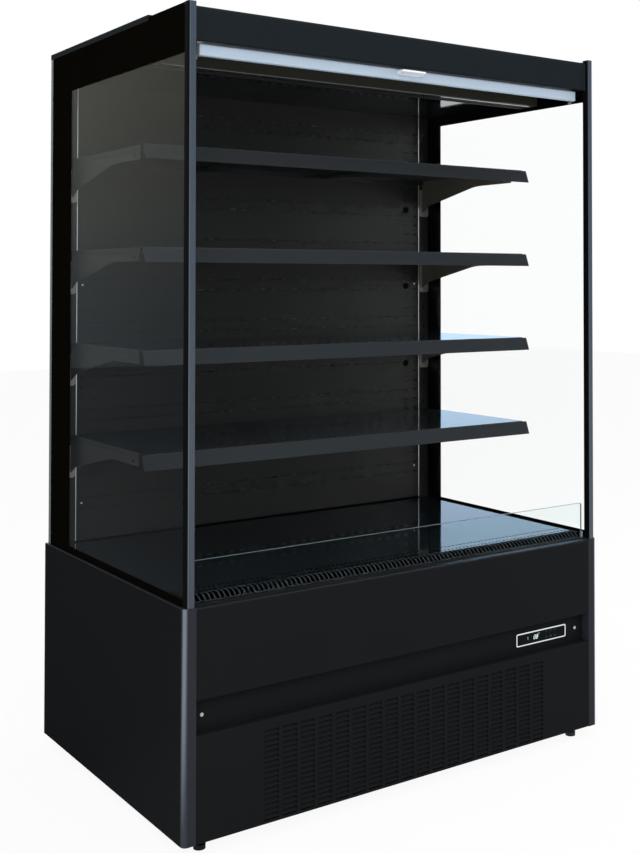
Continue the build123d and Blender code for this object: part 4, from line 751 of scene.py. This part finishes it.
# Moulded grey nylon: the roller's brackets and the plugs in the bar's ends.
bracket_nylon = surface("moulded_nylon_grey", "#8d9094", 0.5, grain=1.5, depth=0.02)
dress(bracket_nylon, "bracket_grey", "blind_brackets")
# Powder-coated extrusion, pale blue-grey.
bar_coat = surface("powder_coat_pale_blue", "#a9b9c9", 0.35, patches=0.03, grain=4.0, depth=0.01)
dress(bar_coat, "blind_white", "blind_bar")

BAR_PLUG_MIDDLES = [(-613.8, 0), (613.8, 0)]
BAR_PLUG_ACROSS, BAR_PLUG_DEPTH, BAR_PLUG_HEIGHT = (-614.6, -613.0), (30.3, 44.7), (1856.3, 1884.7)
first = blank("bar_plug_left", BAR_PLUG_ACROSS, BAR_PLUG_DEPTH, BAR_PLUG_HEIGHT)
ease(first, 0.7)
for plug in set_out(first, ("bar_plug_left", "bar_plug_right"), BAR_PLUG_MIDDLES):
    fit(plug, bracket_nylon, "bracket_grey", "night_blind")

# Glossy moulded ABS. The tab's underside rises from the bar to a thin lip at the front and is hollowed for the
# fingers.
handle_abs = surface("moulded_abs_white", "#e6ecf0", 0.25, patches=0.02, grain=2.0, depth=0.005)
TAB_ACROSS, TAB_DEPTH, TAB_HEIGHT = (-37.5, 37.5), (3.2, 30), (1868.7, 1879.3)
LIP_RISE, TAB_RIM, TAB_HOLLOW = 6.2, 3, 1.8
pull = blank("blind_pull_tab", TAB_ACROSS, TAB_DEPTH, TAB_HEIGHT)
pick_faces(pull, lambda centre, normal: normal.z < -0.9)
bpy.ops.mesh.subdivide(number_cuts=1)
bpy.ops.object.mode_set(mode="OBJECT")
lip = at(0, 5, 1869.5)
for vertex in pull.data.vertices:
    vertex.select = vertex.co.z < lip.z and vertex.co.y < lip.y
for part in (pull.data.edges, pull.data.polygons):
    part.foreach_set("select", [False] * len(part))
bpy.ops.object.mode_set(mode="EDIT")
bpy.ops.mesh.select_mode(type="VERT")
bpy.ops.transform.translate(value=(0, 0, LIP_RISE / 1000))
bpy.ops.object.mode_set(mode="OBJECT")
pick_faces(pull, lambda centre, normal: normal.z < -0.5)
bpy.ops.mesh.inset(thickness=TAB_RIM / 1000, depth=0)
extrude(0, 0, TAB_HOLLOW)
bpy.ops.object.mode_set(mode="OBJECT")
ease(pull, 1.2, 3, 30)
fit(pull, handle_abs, "handle_white", "night_blind", "blind_handle")

# The tube is rolled steel. Each end is closed by a plug, set back from the rim, with a pin that turns in the
# bracket.
ROLL_DEPTH, ROLL_HEIGHT = 63.3, 1925
TUBE_RADIUS, TUBE_LONG = 13.3, 1216
PIN_LONG = 8.2
# Each end from its rim inwards, as width and set-back: the tube's wall, the step to the plug, and the plug's face.
END_RINGS = ((1.4, 0), (0.2, 0.8), (7.8, 0))
roll = at(0, ROLL_DEPTH, ROLL_HEIGHT)
bpy.ops.object.select_all(action="DESELECT")
bpy.ops.mesh.primitive_cylinder_add(vertices=40, radius=TUBE_RADIUS / 1000, depth=TUBE_LONG / 1000,
                                    location=roll, rotation=(0, pi / 2, 0))
tube = placed("blind_tube")
pick_faces(tube, lambda centre, normal: abs(normal.x) > 0.9)
for ring, set_back in END_RINGS:
    bpy.ops.mesh.inset(thickness=ring / 1000, depth=-set_back / 1000, use_individual=True)
bpy.ops.object.mode_set(mode="OBJECT")
for end in (-1, 1):
    pick_faces(tube, lambda centre, normal: normal.x * end > 0.9 and abs(centre.x) > 0.6
               and (centre - roll).cross(Vector((1, 0, 0))).length < 0.001)
    extrude(PIN_LONG * end, 0, 0)
    bpy.ops.object.mode_set(mode="OBJECT")
bpy.ops.object.shade_smooth_by_angle(angle=radians(35))
fit(tube, zinc, "bezel_chrome", "blind_roller", "blind_roller")

# One cloth, 1.2 m wide: a straight run behind the canopy, then turns of 0.6 mm wound on the tube.
CLOTH_WIDE, CLOTH_THICK = 1.2, 0.0004
CLOTH_DEPTH, CLOTH_FOOT = 41.7, 1885
OUTER_TURN, TURN_PITCH = 21.6, 0.6
# Thirteen turns in 36 steps each, after a straight run in 12.
TURNS, STEPS, RUN = 13, 36, 12
centre_line = [(CLOTH_DEPTH, CLOTH_FOOT + (ROLL_HEIGHT - CLOTH_FOOT) * n / RUN) for n in range(RUN)]
for n in range(TURNS * STEPS + 1):
    angle = 2 * pi * n / STEPS
    radius = OUTER_TURN - TURN_PITCH * n / STEPS
    centre_line.append((ROLL_DEPTH - radius * cos(angle), ROLL_HEIGHT + radius * sin(angle)))
along = [0.0]
for (y0, z0), (y1, z1) in zip(centre_line, centre_line[1:]):
    along.append(along[-1] + ((y1 - y0) ** 2 + (z1 - z0) ** 2) ** 0.5 / 1000)
bpy.ops.object.select_all(action="DESELECT")
bpy.ops.mesh.primitive_grid_add(x_subdivisions=12, y_subdivisions=len(centre_line) - 1, size=1)
cloth = bpy.context.active_object
cloth.name = "blind_cloth_wound"
threads = cloth.data.uv_layers.active or cloth.data.uv_layers.new(name="threads")
rows = [round((v.co.y + 0.5) * (len(centre_line) - 1)) for v in cloth.data.vertices]
for loop in cloth.data.loops:
    vertex = cloth.data.vertices[loop.vertex_index]
    threads.data[loop.index].uv = (vertex.co.x * CLOTH_WIDE, along[rows[loop.vertex_index]])
for vertex, row in zip(cloth.data.vertices, rows):
    vertex.co = at(vertex.co.x * CLOTH_WIDE * 1000, *centre_line[row])
finish_with(cloth, "SOLIDIFY", thickness=CLOTH_THICK, offset=0)
bpy.ops.object.shade_smooth_by_angle(angle=radians(40))

# Woven polyester with an aluminium film: silver grey, soft sheen, threads drawn 2 mm apart in place of 0.5 mm.
THREAD_SCALE = 80.0
cloth_weave, weave_shader = new_finish("woven_reflective_polyester")
flat = add(cloth_weave, "ShaderNodeUVMap", uv_map=threads.name).outputs["UV"]
warp = add(cloth_weave, "ShaderNodeTexWave", {"Vector": flat, "Scale": THREAD_SCALE}, bands_direction="X")
weft = add(cloth_weave, "ShaderNodeTexWave", {"Vector": flat, "Scale": THREAD_SCALE}, bands_direction="Y")
woven = add(cloth_weave, "ShaderNodeMath", {0: warp.outputs["Fac"], 1: weft.outputs["Fac"]},
            operation="MULTIPLY")
thread_tone = add(cloth_weave, "ShaderNodeMix", {SHARE: woven.outputs[0], FIRST: linear("#7f868c"),
                                                 SECOND: linear("#b9c0c5")}, data_type="RGBA")
relief = add(cloth_weave, "ShaderNodeBump", {"Height": woven.outputs[0], "Strength": 0.6, "Distance": 0.0002})
feed(cloth_weave, weave_shader, {"Base Color": thread_tone.outputs[MIX], "Normal": relief.outputs["Normal"],
                                 "Roughness": 0.5, "Sheen Weight": 0.2})
cloth.data.materials.clear()
cloth.data.materials.append(cloth_weave)
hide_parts("blind_cloth")
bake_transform(cloth)


# ---- studio ----
# A plain pale floor, three soft square lights and a white surround that the camera, the metal and the glass see.
# The camera stands where the photograph's did.

def seen_by(owner):
    """The light path of a material or world, and 1 for the rays of the camera, of gloss and through glass."""
    path = add(owner, "ShaderNodeLightPath").outputs
    either = add(owner, "ShaderNodeMath", {0: path["Is Camera Ray"], 1: path["Is Glossy Ray"]},
                 operation="MAXIMUM")
    seen = add(owner, "ShaderNodeMath", {0: either.outputs[0], 1: path["Is Transmission Ray"]},
               operation="MAXIMUM")
    return path, seen.outputs[0]


# The floor is matt white and glows for those rays, which keeps the object's faint shadow.
FLOOR_SIZE, FLOOR_GLOW = 30, 0.93
bpy.ops.object.select_all(action="DESELECT")
bpy.ops.mesh.primitive_plane_add(size=FLOOR_SIZE, location=(0, 0, 0))
floor = bpy.context.active_object
floor.name = "studio_floor"
floor_paint, floor_shader = new_finish("studio_floor_white")
floor_path, floor_seen = seen_by(floor_paint)
floor_place = add(floor_paint, "ShaderNodeTexCoord").outputs["Object"]
spot = add(floor_paint, "ShaderNodeSeparateXYZ", {0: floor_place}).outputs
# What gloss mirrors of the floor is dark behind on the left, so that the left end clears towards its foot.
floor_behind = add(floor_paint, "ShaderNodeMapRange", {"Value": spot["Y"], "From Min": -0.5, "From Max": 0.3})
floor_left = add(floor_paint, "ShaderNodeMapRange", {"Value": spot["X"], "From Min": 0.0, "From Max": -0.6})
dark_corner = add(floor_paint, "ShaderNodeMath", {0: floor_behind.outputs[0], 1: floor_left.outputs[0]},
                  operation="MULTIPLY")
darkened = add(floor_paint, "ShaderNodeMath", {0: floor_path["Glossy Depth"], 1: dark_corner.outputs[0]},
               operation="MULTIPLY", use_clamp=True)
glowing = add(floor_paint, "ShaderNodeMath", {0: floor_seen, 1: darkened.outputs[0]}, operation="SUBTRACT",
              use_clamp=True)
glow_share = add(floor_paint, "ShaderNodeMath", {0: glowing.outputs[0], 1: FLOOR_GLOW}, operation="MULTIPLY")
floor_tone = add(floor_paint, "ShaderNodeMix", {SHARE: darkened.outputs[0], FIRST: linear("#edeef0"),
                                                SECOND: linear("#616161")}, data_type="RGBA")
# In gloss it is also darker in front of the left post and brighter beside it, which rounds the post's nose.
post_side = add(floor_paint, "ShaderNodeMapRange",
                {"Value": spot["X"], "From Min": -0.8, "From Max": -1.5, "To Min": 0.35, "To Max": 2.2})
right_side = add(floor_paint, "ShaderNodeMapRange",
                 {"Value": spot["X"], "From Min": -0.1, "From Max": 0.5, "To Min": 0.35, "To Max": 1.0})
brighter = add(floor_paint, "ShaderNodeMath", {0: post_side.outputs[0], 1: right_side.outputs[0]},
               operation="MAXIMUM")
# To the power of the glossy depth, this is 1 for the camera itself.
in_gloss = add(floor_paint, "ShaderNodeMath", {0: brighter.outputs[0], 1: floor_path["Glossy Depth"]},
               operation="POWER")
glow = add(floor_paint, "ShaderNodeEmission", {"Color": linear("#ffffff"), "Strength": in_gloss.outputs[0]})
feed(floor_paint, floor_shader, {"Base Color": floor_tone.outputs[MIX], "Roughness": 0.9,
                                 "Specular IOR Level": 0.0})
floor_mix = add(floor_paint, "ShaderNodeMixShader", {0: glow_share.outputs[0], 1: floor_shader.outputs[0],
                                                     2: glow.outputs[0]})
feed(floor_paint, floor_paint.node_tree.nodes["Material Output"], {"Surface": floor_mix.outputs[0]})
floor.data.materials.append(floor_paint)

# The surround is white for those rays and gives the rest a softer light.
studio = bpy.data.worlds.new("white_studio")
bpy.context.scene.world = studio
studio.use_nodes = True
world_path, world_seen = seen_by(studio)
world_strength = add(studio, "ShaderNodeMapRange", {"Value": world_seen, "To Min": 0.6, "To Max": 1.0})
# What gloss mirrors has a cold cast to the front and right, and a warm one that fades downwards behind on the
# left.
direction = add(studio, "ShaderNodeTexCoord").outputs["Generated"]
toward = add(studio, "ShaderNodeSeparateXYZ", {0: direction}).outputs


def cast(value, start, end, first, second):
    """A mix that goes from the first colour to the second as a direction's value goes from start to end."""
    ramp = add(studio, "ShaderNodeMapRange", {"Value": value, "From Min": start, "From Max": end})
    return add(studio, "ShaderNodeMix", {SHARE: ramp.outputs[0], FIRST: first, SECOND: second},
               data_type="RGBA").outputs[MIX]


rear_left = cast(toward["Z"], -0.03, 0.22, linear("#768086"), linear("#d4d4c2"))
rear = cast(toward["X"], 0.1, -0.2, linear("#c6e2ff", 1.45), rear_left)
front = cast(toward["X"], 0.1, -0.9, linear("#ddeaf8"), linear("#d8ecff", 1.9))
around = cast(toward["Y"], -0.2, 0.2, front, rear)
hue = add(studio, "ShaderNodeMix", {SHARE: world_path["Glossy Depth"], FIRST: linear("#ffffff"), SECOND: around},
          data_type="RGBA")
feed(studio, studio.node_tree.nodes["Background"], {"Color": hue.outputs[MIX],
                                                    "Strength": world_strength.outputs[0]})


CABINET_MIDDLE = Vector((0, 0, 1.0))


def soft_light(name, place, size, watts):
    """A square studio light that points at the middle of the cabinet."""
    data = bpy.data.lights.new(name, "AREA")
    data.size = size
    data.energy = watts
    light = bpy.data.objects.new(name, data)
    light.location = place
    light.rotation_euler = (CABINET_MIDDLE - Vector(place)).to_track_quat("-Z", "Y").to_euler()
    light.visible_glossy = False
    bpy.context.scene.collection.objects.link(light)


soft_light("key_light", place=(-2.3, -3.8, 3.2), size=2.6, watts=100)
soft_light("top_light", place=(0.6, -0.4, 4.6), size=3.0, watts=100)
soft_light("fill_light", place=(3.4, -2.6, 1.8), size=2.4, watts=30)

# The photograph's camera: its place, turn and tilt, and its focal length and optical centre in pixels.
PHOTO_WIDE, PHOTO_HIGH = 640, 853
FOCAL_LENGTH = 1210.5
OPTICAL_CENTRE = (396.4, 256.5)
TILT, TURN = 1.22, -36.18
SENSOR = 36.0
camera = bpy.data.objects.new("camera", bpy.data.cameras.new("camera"))
bpy.context.scene.collection.objects.link(camera)
camera.location = (-1.9156, -2.9781, 1.3216)
camera.rotation_euler = (radians(90 + TILT), 0, radians(TURN))
camera.data.sensor_width = SENSOR
camera.data.lens = FOCAL_LENGTH * SENSOR / PHOTO_HIGH
camera.data.shift_x = (PHOTO_WIDE / 2 - OPTICAL_CENTRE[0]) / PHOTO_HIGH
camera.data.shift_y = (OPTICAL_CENTRE[1] - PHOTO_HIGH / 2) / PHOTO_HIGH
bpy.context.scene.camera = camera
